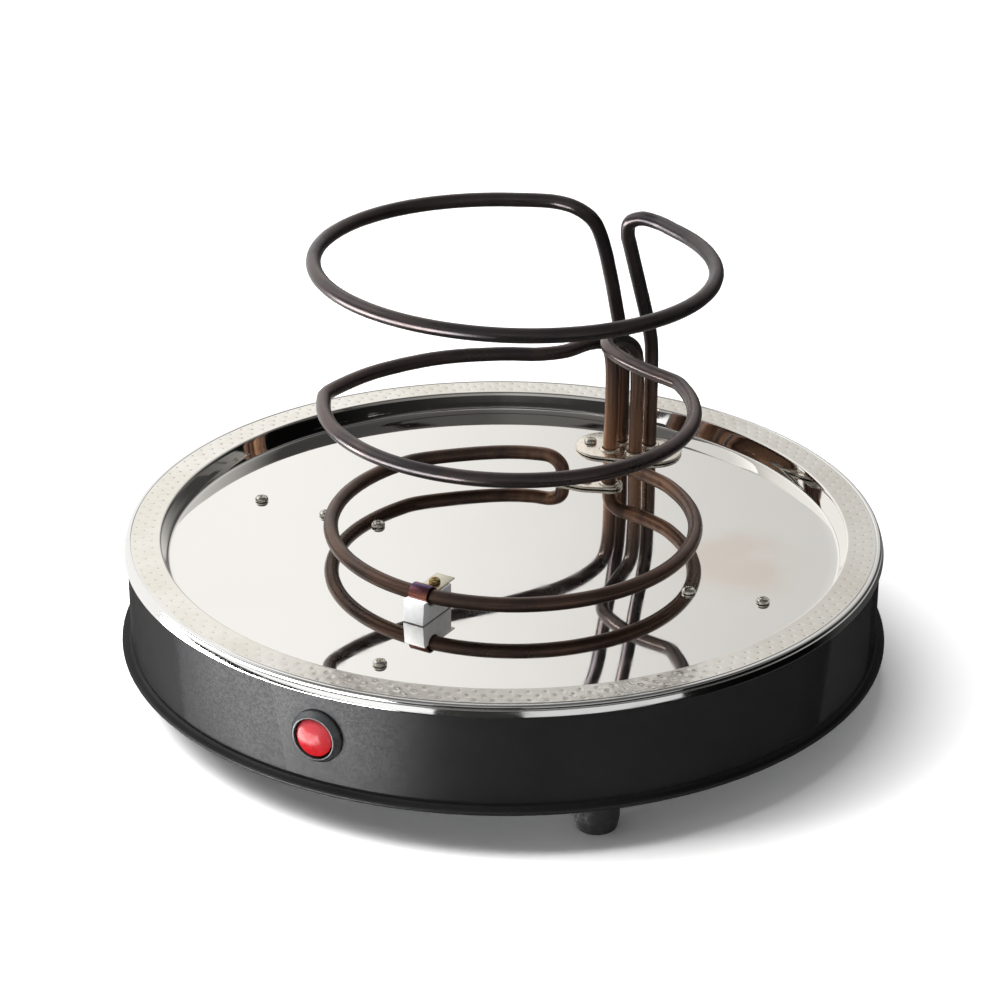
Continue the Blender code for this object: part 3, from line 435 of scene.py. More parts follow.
def fillet(corners, arc_steps=6):
    """Round the corners of a flat outline: (x, y) stays sharp, (x, y, radius) is rounded."""
    points = []
    count = len(corners)
    for index, corner in enumerate(corners):
        here = Vector(corner[:2])
        if len(corner) == 2:
            points.append(here)
            continue
        radius = corner[2]
        before = (Vector(corners[index - 1][:2]) - here).normalized()
        after = (Vector(corners[(index + 1) % count][:2]) - here).normalized()
        half_angle = before.angle(after) / 2
        reach = radius / math.tan(half_angle)
        centre = here + (before + after).normalized() * (radius / math.sin(half_angle))
        start = here + before * reach - centre
        sweep = start.angle_signed(here + after * reach - centre)
        for step in range(arc_steps + 1):
            turn = Matrix.Rotation(-sweep * step / arc_steps, 2)
            points.append(centre + turn @ start)
    return points


def add_mesh(name, work, material):
    bmesh.ops.recalc_face_normals(work, faces=work.faces)
    mesh = bpy.data.meshes.new(name)
    work.to_mesh(mesh)
    work.free()
    smooth(mesh)
    mesh.materials.append(material)
    thing = bpy.data.objects.new(name, mesh)
    bpy.context.scene.collection.objects.link(thing)
    return thing


def revolve(name, points, material, segments, closed=True):
    """Turn a profile of (radius, height) points about Z. An open one starts and ends on Z."""
    work = bmesh.new()
    rings = []
    for point in points:
        if point[0] < TOLERANCE:
            rings.append([work.verts.new((0, 0, point[1]))])
            continue
        ring = []
        for index in range(segments):
            angle = 2 * math.pi * index / segments
            ring.append(work.verts.new((point[0] * math.cos(angle), point[0] * math.sin(angle),
                                        point[1])))
        rings.append(ring)
    pairs = list(zip(rings, rings[1:]))
    if closed:
        pairs.append((rings[-1], rings[0]))
    for first, second in pairs:
        for index in range(segments):
            after = (index + 1) % segments
            corners = [first[index % len(first)], second[index % len(second)],
                       second[after % len(second)], first[after % len(first)]]
            corners = list(dict.fromkeys(corners))
            if len(corners) > 2:
                work.faces.new(corners)
    return add_mesh(name, work, material)


def turned(name, corners, material, segments, closed=True):
    return revolve(name, fillet(corners), material, segments, closed)


def apply_all(thing):
    """Replace an object's mesh by its evaluated one and drop the modifiers."""
    graph = bpy.context.evaluated_depsgraph_get()
    mesh = bpy.data.meshes.new_from_object(thing.evaluated_get(graph))
    thing.modifiers.clear()
    thing.data = mesh
    smooth(mesh)


def extruded(name, corners, thickness, material, arc_steps=8, bevel=0.0):
    """Extrude a flat outline, from z = 0 up to the thickness."""
    points = fillet(corners, arc_steps)
    work = bmesh.new()
    low = [work.verts.new((p.x, p.y, 0)) for p in points]
    high = [work.verts.new((p.x, p.y, thickness)) for p in points]
    work.faces.new(list(reversed(low)))
    work.faces.new(high)
    for index in range(len(points)):
        after = (index + 1) % len(points)
        work.faces.new([low[index], low[after], high[after], high[index]])
    thing = add_mesh(name, work, material)
    if bevel:
        edge = thing.modifiers.new("edges", "BEVEL")
        edge.width = bevel
        edge.segments = 3
        edge.limit_method = "ANGLE"
        edge.angle_limit = math.radians(50)
        apply_all(thing)
    return thing


def cut(thing, others, operation="DIFFERENCE"):
    """Cut the other objects out of this one, or join them on, and drop them."""
    bpy.context.view_layer.update()
    for other in others:
        boolean = thing.modifiers.new("cut", "BOOLEAN")
        boolean.operation = operation
        boolean.solver = "EXACT"
        boolean.object = other
    apply_all(thing)
    for other in others:
        bpy.data.objects.remove(other, do_unlink=True)


def rod(radius, low, high, place=(0, 0), sides=32):
    corners = [(0, high), (radius, high), (radius, low), (0, low)]
    cutter = turned("cutter", corners, GALVANISED, sides, False)
    cutter.location = (place[0], place[1], 0)
    return cutter


def slot_cutter(length, width, low, high, place, turn):
    half, end = length / 2, width / 2
    corner_r = end * 0.98
    corners = [(half, -end, corner_r), (half, end, corner_r),
               (-half, end, corner_r), (-half, -end, corner_r)]
    cutter = extruded("cutter", corners, high - low, GALVANISED)
    cutter.location = (place[0], place[1], low)
    cutter.rotation_euler.z = turn
    return cutter


def settle(thing):
    """Bake the object's place into its mesh, so that it sits at the origin as the CAD nodes do."""
    bpy.context.view_layer.update()
    thing.data.transform(thing.matrix_world)
    thing.matrix_world = Matrix.Identity(4)
    return thing


def turned_point(centre, across, along, turn):
    """A point by its distances from a centre, in axes turned by the given angle."""
    offset = Vector((across, along))
    offset.rotate(Matrix.Rotation(turn, 2))
    return centre + offset


def lay_along_x(thing, middle_x, width):
    """Turn an outline drawn as (y, z) and extruded along Z so that it is extruded along X."""
    thing.data.transform(Matrix.Translation((0, 0, -width / 2)))
    thing.data.transform(Matrix(((0, 0, 1, 0), (1, 0, 0, 0), (0, 1, 0, 0), (0, 0, 0, 1))))
    thing.data.transform(Matrix.Translation((middle_x, 0, 0)))


# -------------------------------- heating loops

def arc_points(centre, semi_axes, start, end, height, step=6):
    count = max(2, round(abs(end - start) / step))
    points = []
    for index in range(count + 1):
        angle = math.radians(start + (end - start) * index / count)
        points.append(Vector((centre[0] + semi_axes[0] * math.cos(angle),
                              centre[1] + semi_axes[1] * math.sin(angle), height)))
    return points


def curve_through(points, per_span=10):
    """A centripetal Catmull-Rom curve through the points."""
    padded = [points[0] * 2 - points[1], *points, points[-1] * 2 - points[-2]]
    curve = []
    for i in range(1, len(padded) - 2):
        p0, p1, p2, p3 = padded[i - 1:i + 3]
        t0 = 0.0
        t1 = t0 + math.sqrt((p1 - p0).length)
        t2 = t1 + math.sqrt((p2 - p1).length)
        t3 = t2 + math.sqrt((p3 - p2).length)
        for step in range(per_span):
            t = t1 + (t2 - t1) * step / per_span
            a1 = p0 * ((t1 - t) / (t1 - t0)) + p1 * ((t - t0) / (t1 - t0))
            a2 = p1 * ((t2 - t) / (t2 - t1)) + p2 * ((t - t1) / (t2 - t1))
            a3 = p2 * ((t3 - t) / (t3 - t2)) + p3 * ((t - t2) / (t3 - t2))
            b1 = a1 * ((t2 - t) / (t2 - t0)) + a2 * ((t - t0) / (t2 - t0))
            b2 = a2 * ((t3 - t) / (t3 - t1)) + a3 * ((t - t1) / (t3 - t1))
            curve.append(b1 * ((t2 - t) / (t2 - t1)) + b2 * ((t - t1) / (t2 - t1)))
    curve.append(points[-1].copy())
    return curve


def thin_out(points, max_turn=math.radians(2.5)):
    """Keep a point wherever the path has turned by max_turn since the last one kept."""
    kept = [points[0]]
    turned_so_far = 0.0
    for before, here, after in zip(points, points[1:], points[2:]):
        turned_so_far += (here - before).angle(after - here, 0.0)
        if turned_so_far >= max_turn:
            kept.append(here)
            turned_so_far = 0.0
    kept.append(points[-1])
    return kept


def tube(name, points, radius, material):
    curve = bpy.data.curves.new(name, "CURVE")
    curve.dimensions = "3D"
    curve.bevel_depth = radius
    curve.bevel_resolution = 5
    curve.use_fill_caps = True
    spline = curve.splines.new("POLY")
    spline.points.add(len(points) - 1)
    for control, point in zip(spline.points, points):
        control.co = (*point, 1)
    source = bpy.data.objects.new(name + "_path", curve)
    bpy.context.scene.collection.objects.link(source)
    graph = bpy.context.evaluated_depsgraph_get()
    mesh = bpy.data.meshes.new_from_object(source.evaluated_get(graph))
    bpy.data.objects.remove(source, do_unlink=True)
    work = bmesh.new()
    work.from_mesh(mesh)
    bmesh.ops.remove_doubles(work, verts=work.verts, dist=0.002 * MM)
    return add_mesh(name, work, material)


def millimetres(points):
    return [Vector(point) * MM for point in points]


def upright(place, heights):
    return [Vector((place.x, place.y, height)) for height in heights]


def lower_ends():
    return [turned_point(LOWER_CENTRE, side * LOWER_HALF, 0, TOWER_TURN) for side in (-1, 1)]


def middle_legs():
    return [turned_point(TOWER_CENTRE, side * FRONT_HALF - ROW_SHIFT, -TOWER_ROW, TOWER_TURN)
            for side in (-1, 1)]


def upper_legs():
    return [turned_point(TOWER_CENTRE, side * REAR_HALF + ROW_SHIFT, TOWER_ROW, TOWER_TURN)
            for side in (-1, 1)]


def loop_paths():
    """The same routes as the CAD loops, with the free points in mm."""
    left, right = lower_ends()
    rise = [TUBE_END_Z, LOWER_Z - 9 * MM]
    lower = [*upright(left, rise),
             *millimetres([(-7.6, 72.2, 65.2), (-12.5, 72.6, 68.4), (-21.5, 71.4, 68.7),
                           (-33.5, 66.4, 68.7), (-51, 53.6, 68.7)]),
             *arc_points((4.3 * MM, 0.5 * MM), (80 * MM, 80 * MM), 152, 418, LOWER_Z),
             *millimetres([(31.5, 74.4, 68.7), (20.8, 76.2, 68.4), (16.0, 76.4, 65.2)]),
             *upright(right, reversed(rise))]
    left, right = middle_legs()
    rise = [TUBE_END_Z, 106 * MM]
    middle = [*upright(left, rise),
              *millimetres([(-2.6, 107.6, 113.6), (-5.8, 97, 117.0), (-10.6, 81.5, 117.8),
                            (-18.5, 70.5, 118.8), (-32, 57.2, 121.2), (-51.5, 36.5, 123.0),
                            (-67, 9.6, 123.8), (-73, -9.5, 123.8)]),
              *arc_points((1.5 * MM, 1.0 * MM), (81.0 * MM, 76.8 * MM), 200, 408, MIDDLE_Z),
              *millimetres([(38.3, 63.4, 124.4), (22.5, 70.8, 124.6), (11.5, 80, 124.4),
                            (6.8, 91.0, 123.2), (7.6, 102.5, 119.4), (10.2, 110.6, 113)]),
              *upright(right, reversed(rise))]
    left, right = upper_legs()
    rise = [TUBE_END_Z, 107 * MM]
    upper = [*upright(left, rise),
             *millimetres([(-0.4, 117.6, 119), (-0.5, 97.0, 168.5), (-2.4, 89.6, 180.5),
                           (-8.5, 85.6, 186.0), (-18.5, 84.6, 187.4)]),
             *arc_points((1.2 * MM, 6.1 * MM), (87.0 * MM, 80 * MM), 116, 420, UPPER_Z),
             *millimetres([(34.5, 81.2, 187.4), (25.2, 83.4, 187.2), (19.0, 84.6, 184.0),
                           (16.4, 87.8, 177.2), (15.6, 92.8, 169), (13.8, 120.2, 118)]),
             *upright(right, reversed(rise))]
    return {"lower": lower, "middle": middle, "upper": upper}


def make_loops():
    for name, route in loop_paths().items():
        loop = tube(f"loop_{name}", thin_out(curve_through(route)), TUBE_R, SHEATHS[name])
        keep(loop, f"heating_loop_{name}")


# -------------------------------- tray and drum

def rear_screw_places():
    return [turned_point(TOWER_CENTRE, side * REAR_SCREW_REACH, 0, TOWER_TURN) for side in (-1, 1)]


def brace_screw_places():
    return [Vector((x, BRACE_Y / MM + x * math.tan(BRACE_TURN) + offset)) * MM
            for x, offset in BRACE_SCREWS]


def tray_profile():
    """From the middle of the floor, up the wall, over the rim and its lip, and back under.

    Each corner is in mm: its radius, its height and, where it is rounded, how much.
    """
    floor_z, rim_z, sheet = FLOOR_Z / MM, RIM_Z / MM, SHEET / MM
    corners = [(radius, floor_z) for radius in (0, 40, 80, 110, 130, 142)]
    corners += [(147.5, floor_z, 1.3), (148.35, 60.6, 2.0), (148.75, 61.9, 2.0),
                (149.75, 65.0, 2.0), (150.3, rim_z, 0.9), (151.4, rim_z)]
    for row in DOT_ROWS:
        corners += [((row + offset) / MM, rim_z) for offset in (-DOT_REACH, 0, DOT_REACH)]
    corners += [(LIP_START_R / MM, rim_z, 0.2), (163.15, 66.15, 0.15), (163.5, rim_z, 0.25),
                (165.2, rim_z, 1.1), (165.4, 65.0, 0.2), (165.15, 64.75, 0.1),
                (165.75, 64.5, 0.25), (166.5, 61.9, 0.5), (166.3, 61.5, 0.1),
                (165.75, 61.5, 0.1), (165.2, 63.8, 0.3), (162.6, rim_z - sheet, 0.5),
                (151.2, rim_z - sheet, 0.6), (148.0, floor_z - sheet, 0.9),
                (130, floor_z - sheet), (0, floor_z - sheet)]
    return fillet([tuple(value * MM for value in corner) for corner in corners], 5)


def press_dots(mesh):
    """Lower one vertex for each dot, with neighbouring rows half a dot apart."""
    for vertex in mesh.vertices:
        place = vertex.co
        radius = math.hypot(place.x, place.y)
        if abs(place.z - RIM_Z) > TOLERANCE:
            continue
        for row, middle in enumerate(DOT_ROWS):
            if abs(radius - middle) > TOLERANCE:
                continue
            turns = math.atan2(place.y, place.x) / (2 * math.pi)
            dot = turns * DOTS_PER_ROW + 0.5 * (row % 2)
            if abs(dot - round(dot)) < 0.25 / STEPS_PER_DOT:
                place.z -= DOT_DEPTH


def make_tray():
    tray = revolve("tray", tray_profile(), PAN, DOTS_PER_ROW * STEPS_PER_DOT, False)
    mesh = tray.data
    mesh.materials.append(RIM)
    mesh.materials.append(LIP)
    press_dots(mesh)
    for face in mesh.polygons:
        middle = face.center
        radius = math.hypot(middle.x, middle.y)
        if radius > LIP_START_R:
            face.material_index = 2
        elif radius > RIM_START_R:
            face.material_index = 1
    low, high = FLOOR_Z - CUT_REACH, FLOOR_Z + CUT_REACH
    cutters = [slot_cutter(*TOWER_OPENING, low, high, TOWER_CENTRE, TOWER_TURN),
               slot_cutter(*LOWER_OPENING, low, high, LOWER_CENTRE, TOWER_TURN)]
    for place in [*brace_screw_places(), FRONT_SCREW]:
        cutters.append(rod(SCREW_SHANK_R + CLEARANCE, low, high, place, 16))
    cut(tray, cutters)
    smooth(tray.data, 60)
    dots = tray.data.attributes.new("dots", "FLOAT", "POINT")
    for vertex, mark in zip(tray.data.vertices, dots.data):
        on_rim = DOT_MARKS_R[0] < math.hypot(vertex.co.x, vertex.co.y) < DOT_MARKS_R[1]
        pressed = DOT_DEPTH / 3 < RIM_Z - vertex.co.z < SHEET * 0.75
        mark.value = float(on_rim and pressed)
    keep(tray, "reflector_tray")


def face_front(thing):
    """Turn a shape drawn about Z so that it faces the front, at the switch's place."""
    thing.rotation_euler.x = math.pi / 2
    thing.location = (SWITCH_X, 0, SWITCH_Z)


def make_skirt():
    top = RIM_Z - 2.5 * MM
    inner = WALL_R - WALL_THICKNESS
    hem_top = HEM_Z + HEM_HEIGHT
    profile = [(WALL_R, top, 0.2 * MM), (WALL_R, hem_top + 2.2 * MM, 0.8 * MM),
               (WALL_R - 0.45 * MM, hem_top + 0.3 * MM, 0.4 * MM),
               (WALL_R + 1.0 * MM, hem_top - 0.1 * MM, 0.3 * MM), (HEM_R, hem_top, 0.7 * MM),
               (HEM_R, HEM_Z, 0.8 * MM), (inner, HEM_Z), (inner, top)]
    skirt = turned("skirt", profile, PAINT, 256)
    cutters = []
    for radius, place in ((SLEEVE_R + CLEARANCE, (SWITCH_X, -WALL_R, SWITCH_Z)),
                          (GLAND_NECK_R + CLEARANCE, (0, WALL_R, GLAND_Z))):
        cutter = rod(radius, -10 * MM, 10 * MM, sides=64)
        cutter.rotation_euler.x = math.pi / 2
        cutter.location = place
        cutters.append(cutter)
    cut(skirt, cutters)
    keep(skirt, "drum_skirt")


def foot_places():
    places = {}
    for name, degrees in FOOT_ANGLES.items():
        angle = math.radians(degrees)
        places[name] = Vector((math.cos(angle), math.sin(angle))) * FOOT_RING_R
    return places


def make_bottom_cover():
    top = COVER_Z + SHEET
    edge_r = WALL_R - WALL_THICKNESS - 0.6 * MM
    profile = [(0, top), (edge_r - 1.2 * MM, top, 0.8 * MM), (edge_r - SHEET, COVER_Z + 5 * MM),
               (edge_r, COVER_Z + 5 * MM), (edge_r, COVER_Z, 0.8 * MM), (0, COVER_Z)]
    cover = turned("cover", profile, GALVANISED, 192, False)
    low, high = COVER_Z - CUT_REACH, COVER_Z + CUT_REACH
    cutters = []
    for side in (-1, 1):
        for row in range(VENT_ROWS):
            place = (side * VENT_X, (row - (VENT_ROWS - 1) / 2) * VENT_PITCH)
            cutters.append(slot_cutter(VENT_LENGTH, VENT_WIDTH, low, high, place, 0))
    for place in [*foot_places().values(), Vector((0, BRACE_Y))]:
        cutters.append(rod(BOLT_HOLE_R, low, high, place, 24))
    cut(cover, cutters)
    keep(cover, "bottom_cover")


# -------------------------------- plates, standoff, strap

def make_flange(name, node, centre, outline, places, screw_places):
    """A plate with a collar and a bore for each leg, and its screw holes."""
    low = FLOOR_Z + CLEARANCE
    plate = extruded(name, outline, PLATE_THICKNESS, PLATE, 14, 0.3 * MM)
    plate.location = (centre.x, centre.y, low)
    plate.rotation_euler.z = TOWER_TURN
    settle(plate)
    collars = []
    top, foot = low + COLLAR_HEIGHT, low + 0.4 * MM
    corners = [(0, top), (COLLAR_R, top, 0.8 * MM), (COLLAR_R, foot), (0, foot)]
    for place in places:
        collar = turned("collar", corners, PLATE, 40, False)
        collar.location = (place.x, place.y, 0)
        collars.append(collar)
    cut(plate, collars, "UNION")
    bores = [rod(TUBE_R + CLEARANCE, low - 5 * MM, low + 10 * MM, place, 40)
             for place in places]
    bores += [rod(SCREW_SHANK_R + CLEARANCE, low - 5 * MM, low + 5 * MM, place, 24)
              for place in screw_places]
    cut(plate, bores)
    keep(plate, node)


def make_flanges():
    half, top_highlight, corner = 25 * MM, 14.5 * MM, 13.6 * MM
    outline = [(half, -top_highlight, corner), (half, top_highlight, corner),
               (-half, top_highlight, corner), (-half, -top_highlight, corner)]
    make_flange("plate_rear", "rear_flange", TOWER_CENTRE, outline, middle_legs() + upper_legs(),
                rear_screw_places())
    half, waist, end, corner, bulge = 17 * MM, 7.4 * MM, 4.6 * MM, 4.2 * MM, 12 * MM
    outline = [(half, -end, corner), (half, end, corner), (0, waist, bulge),
               (-half, end, corner), (-half, -end, corner), (0, -waist, bulge)]
    make_flange("plate_front", "front_flange", LOWER_CENTRE, outline, lower_ends(), [LOWER_CENTRE])


def clamp_screw_place():
    centre = Vector((STANDOFF_X, LOOP_FRONT_Y))
    return turned_point(centre, 0, CLAMP_SCREW_Y - LOOP_FRONT_Y, STANDOFF_TURN)


def turn_with_standoff(thing):
    """Turn a mesh about the vertical line where the lower loop crosses the block."""
    centre = Vector((STANDOFF_X, LOOP_FRONT_Y, 0))
    thing.data.transform(Matrix.Translation(-centre))
    thing.data.transform(Matrix.Rotation(STANDOFF_TURN, 4, "Z"))
    thing.data.transform(Matrix.Translation(centre))


def round_tube(radius, angles):
    """Points of (y, z) round the lower loop's tube where it crosses the standoff."""
    return [(LOOP_FRONT_Y + radius * math.cos(angle), LOWER_Z + radius * math.sin(angle))
            for angle in angles]


def make_standoff():
    steps = 20
    outline = [(STANDOFF_FRONT_Y, FLOOR_Z + CLEARANCE), (STANDOFF_REAR_Y, FLOOR_Z + CLEARANCE),
               (STANDOFF_REAR_Y, STANDOFF_TOP_Z, 0.5 * MM),
               (LOOP_FRONT_Y + SEAT_R, STANDOFF_TOP_Z),
               *round_tube(SEAT_R, [math.radians(-168 * i / steps) for i in range(steps + 1)]),
               (LOOP_FRONT_Y - SEAT_R - 0.3 * MM, STANDOFF_FRONT_Z),
               (STANDOFF_FRONT_Y + STANDOFF_LEAN, STANDOFF_FRONT_Z, 0.5 * MM)]
    block = extruded("block", outline, STANDOFF_WIDTH, CERAMIC, 4, 0.35 * MM)
    lay_along_x(block, STANDOFF_X, STANDOFF_WIDTH)
    turn_with_standoff(block)
    cut(block, [rod(SCREW_SHANK_R + CLEARANCE, STANDOFF_TOP_Z - 6 * MM, STANDOFF_TOP_Z + 5 * MM,
                    clamp_screw_place(), 24)])
    keep(block, "ceramic_standoff")


def make_strap():
    flat_z = STANDOFF_TOP_Z + CLEARANCE
    start, end, steps = math.radians(184), math.radians(14), 28
    angles = [start + (end - start) * step / steps for step in range(steps + 1)]
    outside = round_tube(SEAT_R + STRAP_THICKNESS, angles)
    inside = round_tube(SEAT_R, reversed(angles))
    outside[-1] = (outside[-1][0], flat_z + STRAP_THICKNESS)
    inside[0] = (inside[0][0], flat_z)
    outline = [*outside, (STRAP_REAR_Y, flat_z + STRAP_THICKNESS), (STRAP_REAR_Y, flat_z), *inside]
    strap = extruded("strap", outline, STRAP_WIDTH, STRAP, 4, 0.12 * MM)
    lay_along_x(strap, STANDOFF_X, STRAP_WIDTH)
    turn_with_standoff(strap)
    cut(strap, [rod(SCREW_SHANK_R + CLEARANCE, flat_z - 3 * MM, flat_z + 5 * MM,
                    clamp_screw_place(), 24)])
    keep(strap, "element_clamp")


# -------------------------------- screws and feet

def screw_mesh(name, head_r, head_height, shank_r, length, material):
    """A domed pan head with a cross recess, and a threaded shank."""
    dome = ((0, 1), (0.5, 0.97), (0.82, 0.78), (0.98, 0.42), (1, 0.2), (1, 0))
    profile = [(head_r * out, head_height * up) for out, up in dome] + [(shank_r, 0)]
    pitch, top_highlight = shank_r * 0.42, shank_r * 0.12
    turns = int((length - 2 * shank_r) / pitch)
    for index in range(turns):
        height = -0.4 * pitch - index * pitch
        profile += [(shank_r, height), (shank_r - top_highlight, height - pitch / 2)]
    profile += [(shank_r, -length + shank_r), (0, -length)]
    screw = turned(name, profile, material, 32, False)
    half, wide = head_r * 0.62, head_r * 0.2
    blades = []
    for turn in (0, math.pi / 2):
        work = bmesh.new()
        bmesh.ops.create_cube(work, size=1.0)
        for vertex in work.verts:
            taper = 0.6 if vertex.co.z < 0 else 1.0
            vertex.co = (vertex.co.x * 2 * half * taper, vertex.co.y * 2 * wide * taper,
                         vertex.co.z * head_height * 1.3 + head_height)
        blade = add_mesh("blade", work, material)
        blade.rotation_euler.z = turn
        blades.append(blade)
    cut(screw, blades)
    mesh = screw.data
    bpy.data.objects.remove(screw, do_unlink=True)
    return mesh


def place_screw(mesh, node, place, seat_z, turn, upside_down=False):
    copy = mesh.copy()
    copy.transform(Matrix.Rotation(math.radians(turn), 4, "Z"))
    if upside_down:
        copy.transform(Matrix.Rotation(math.pi, 4, "X"))
    copy.transform(Matrix.Translation((place[0], place[1], seat_z)))
    screw = bpy.data.objects.new("visual_" + node, copy)
    bpy.context.scene.collection.objects.link(screw)
    keep(screw, node)


def make_screws():
    floor_seat = FLOOR_Z + CLEARANCE
    plate_seat = floor_seat + PLATE_THICKNESS + CLEARANCE
    small = screw_mesh("pan_screw", SCREW_HEAD_R, SCREW_HEAD_HEIGHT, SCREW_SHANK_R,
                       PAN_SCREW_LENGTH, NICKEL)
    for index, (place, turn) in enumerate(zip(brace_screw_places(), BRACE_SCREW_TURNS), 1):
        place_screw(small, f"floor_screw_{index}", place, floor_seat, turn)
    place_screw(small, "floor_screw_front", FRONT_SCREW, floor_seat, 40)
    for side, place, turn in zip(("left", "right"), rear_screw_places(), (25, 60)):
        place_screw(small, f"rear_flange_screw_{side}", place, plate_seat, turn)
    place_screw(small, "front_flange_screw", LOWER_CENTRE, plate_seat, 12)
    gold = screw_mesh("clamp_screw_mesh", CLAMP_SCREW_R, SCREW_HEAD_HEIGHT, SCREW_SHANK_R,
                      CLAMP_SCREW_LENGTH, BRASS)
    strap_seat = STANDOFF_TOP_Z + STRAP_THICKNESS + 2 * CLEARANCE
    place_screw(gold, "clamp_screw", clamp_screw_place(), strap_seat, 30)
    long = screw_mesh("foot_screw_mesh", *FOOT_SCREW_HEAD, BOLT_SHANK_R, FOOT_SCREW_LENGTH, NICKEL)
    for index, (name, place) in enumerate(foot_places().items()):
        place_screw(long, f"foot_screw_{name}", place, FOOT_SEAT_Z - CLEARANCE, 20 + 31 * index,
                    True)
    nut_top = FLOOR_Z - SHEET - BRACE_SHEET - 2 * CLEARANCE
    bolt = screw_mesh("bolt_mesh", *CENTRE_BOLT_HEAD, BOLT_SHANK_R, nut_top - COVER_Z, NICKEL)
    place_screw(bolt, "centre_bolt", (0, BRACE_Y), COVER_Z - CLEARANCE, 45, True)


def make_feet():
    top = COVER_Z - CLEARANCE
    profile = [(FOOT_R - 0.2 * MM, top), (FOOT_R, top - 0.4 * MM), (FOOT_R, 5.4 * MM, 0.6 * MM),
               (FOOT_R - 1.1 * MM, 0, 0.9 * MM), (FOOT_RECESS_R, 0, 0.5 * MM),
               (FOOT_RECESS_R, FOOT_SEAT_Z), (BOLT_HOLE_R, FOOT_SEAT_Z), (BOLT_HOLE_R, top)]
    for name, place in foot_places().items():
        foot = turned(f"pad_{name}", profile, RUBBER, 64)
        foot.location = (place.x, place.y, 0)
        keep(settle(foot), f"foot_{name}")


# -------------------------------- switch and gland

def make_switch():
    base = WALL_R + CLEARANCE
    front = base + BEZEL_HEIGHT
    bezel = turned("bezel", [
        (SWITCH_BORE_R, front, 0.35 * MM), (BEZEL_R - 1.8 * MM, front, 0.8 * MM),
        (BEZEL_R, base + 0.9 * MM, 0.7 * MM), (BEZEL_R, base), (SLEEVE_R, base),
        (SLEEVE_R, SLEEVE_END_Y), (SWITCH_BORE_R, SLEEVE_END_Y),
    ], PLASTIC, 96)
    face_front(bezel)
    keep(settle(bezel), "switch_bezel")
    apex = NOSE_Y + SWITCH_PIVOT_Y
    rim = apex - LENS_DOME
    dome_r = (ROCKER_R ** 2 + LENS_DOME ** 2) / (2 * LENS_DOME)
    profile = [(0, apex)]
    steps = 12
    for step in range(1, steps):
        radius = ROCKER_R * step / steps
        profile.append((radius, apex - dome_r + math.sqrt(dome_r ** 2 - radius ** 2)))
    profile += [(ROCKER_R, rim, 0.4 * MM), (ROCKER_R, rim - 2.4 * MM, 0.3 * MM),
                (6.0 * MM, LENS_BACK), (0, LENS_BACK)]
    lens = turned("lens", profile, LENS, 96, False)
    lens.data.transform(Matrix.Rotation(math.pi / 2 - ROCKER_TILT, 4, "X"))
    lens.location = (SWITCH_X, SWITCH_PIVOT_Y, SWITCH_Z)
    keep(settle(lens), "switch_rocker", "rocker")


def make_gland():
    wall, inside = WALL_R + CLEARANCE, GLAND_INSIDE_Y
    catch_r, catch_end = GLAND_FLANGE_R - 1 * MM, inside - 2 * MM
    profile = [(CORD_BORE_R, NOSE_Y, 0.2 * MM), (5.6 * MM, NOSE_Y, 0.6 * MM),
               (GLAND_NECK_R, wall + 2.2 * MM, 0.5 * MM),
               (GLAND_FLANGE_R, wall + 1.7 * MM, 0.6 * MM), (GLAND_FLANGE_R, wall),
               (GLAND_NECK_R, wall), (GLAND_NECK_R, inside), (catch_r, inside),
               (catch_r, catch_end), (CORD_BORE_R, catch_end)]
    gland = turned("gland", profile, RUBBER, 64)
    gland.rotation_euler.x = -math.pi / 2
    gland.location = (0, 0, GLAND_Z)
    keep(settle(gland), "cord_gland")


def finish_inner_nodes():
    """CAD nodes that stay get the node material of their own slot."""
    slots = {row["node"]: row["material_slot"] for row in frame["record"]["subparts"]}
    for name, thing in frame["nodes"].items():
        material = SLOT_MATERIALS[slots[name]]
        if not thing.data.materials:
            thing.data.materials.append(material)
        for entry in thing.material_slots:
            entry.link = "OBJECT"
            entry.material = material


# -------------------------------- studio

def camera_axes():
    sin_a, cos_a = math.sin(CAMERA_AZIMUTH), math.cos(CAMERA_AZIMUTH)
    sin_e, cos_e = math.sin(CAMERA_ELEVATION), math.cos(CAMERA_ELEVATION)
    right = Vector((cos_a, sin_a, 0))
    back = Vector((sin_a * cos_e, -cos_a * cos_e, sin_e))
    return right, back.cross(right), back


def make_camera():
    right, up, back = camera_axes()
    data = bpy.data.cameras.new("camera")
    data.sensor_width = 36.0
    data.lens = FOCAL_LENGTH_MM
    data.clip_start, data.clip_end = 0.05, 60.0
    camera = bpy.data.objects.new("camera", data)
    bpy.context.scene.collection.objects.link(camera)
    place = Vector((0, 0, RIM_Z)) + CAMERA_DISTANCE * back
    place += CAMERA_ASIDE * right + CAMERA_RAISED * up
    turn = Matrix((right, up, back)).transposed() @ Matrix.Rotation(CAMERA_ROLL, 3, "Z")
    camera.matrix_world = Matrix.Translation(place) @ turn.to_4x4()
    bpy.context.scene.camera = camera


def studio_direction(azimuth, elevation):
    """A direction by its angle from the camera, positive to the camera's right, and its height."""
    angle = math.radians(azimuth)
    right, _, back = camera_axes()
    towards = Vector((back.x, back.y, 0)).normalized()
    flat = towards * math.cos(angle) + right * math.sin(angle)
    height = math.radians(elevation)
    return flat * math.cos(height) + Vector((0, 0, math.sin(height)))


def aim(light, azimuth, elevation, distance):
    """Place a light in a studio direction, facing a point a little above the ground."""
    direction = studio_direction(azimuth, elevation)
    light.location = direction * distance + Vector((0, 0, 0.06))
    light.rotation_mode = "QUATERNION"
    light.rotation_quaternion = direction.to_track_quat("Z", "Y")
    light.visible_camera = False
    bpy.context.scene.collection.objects.link(light)


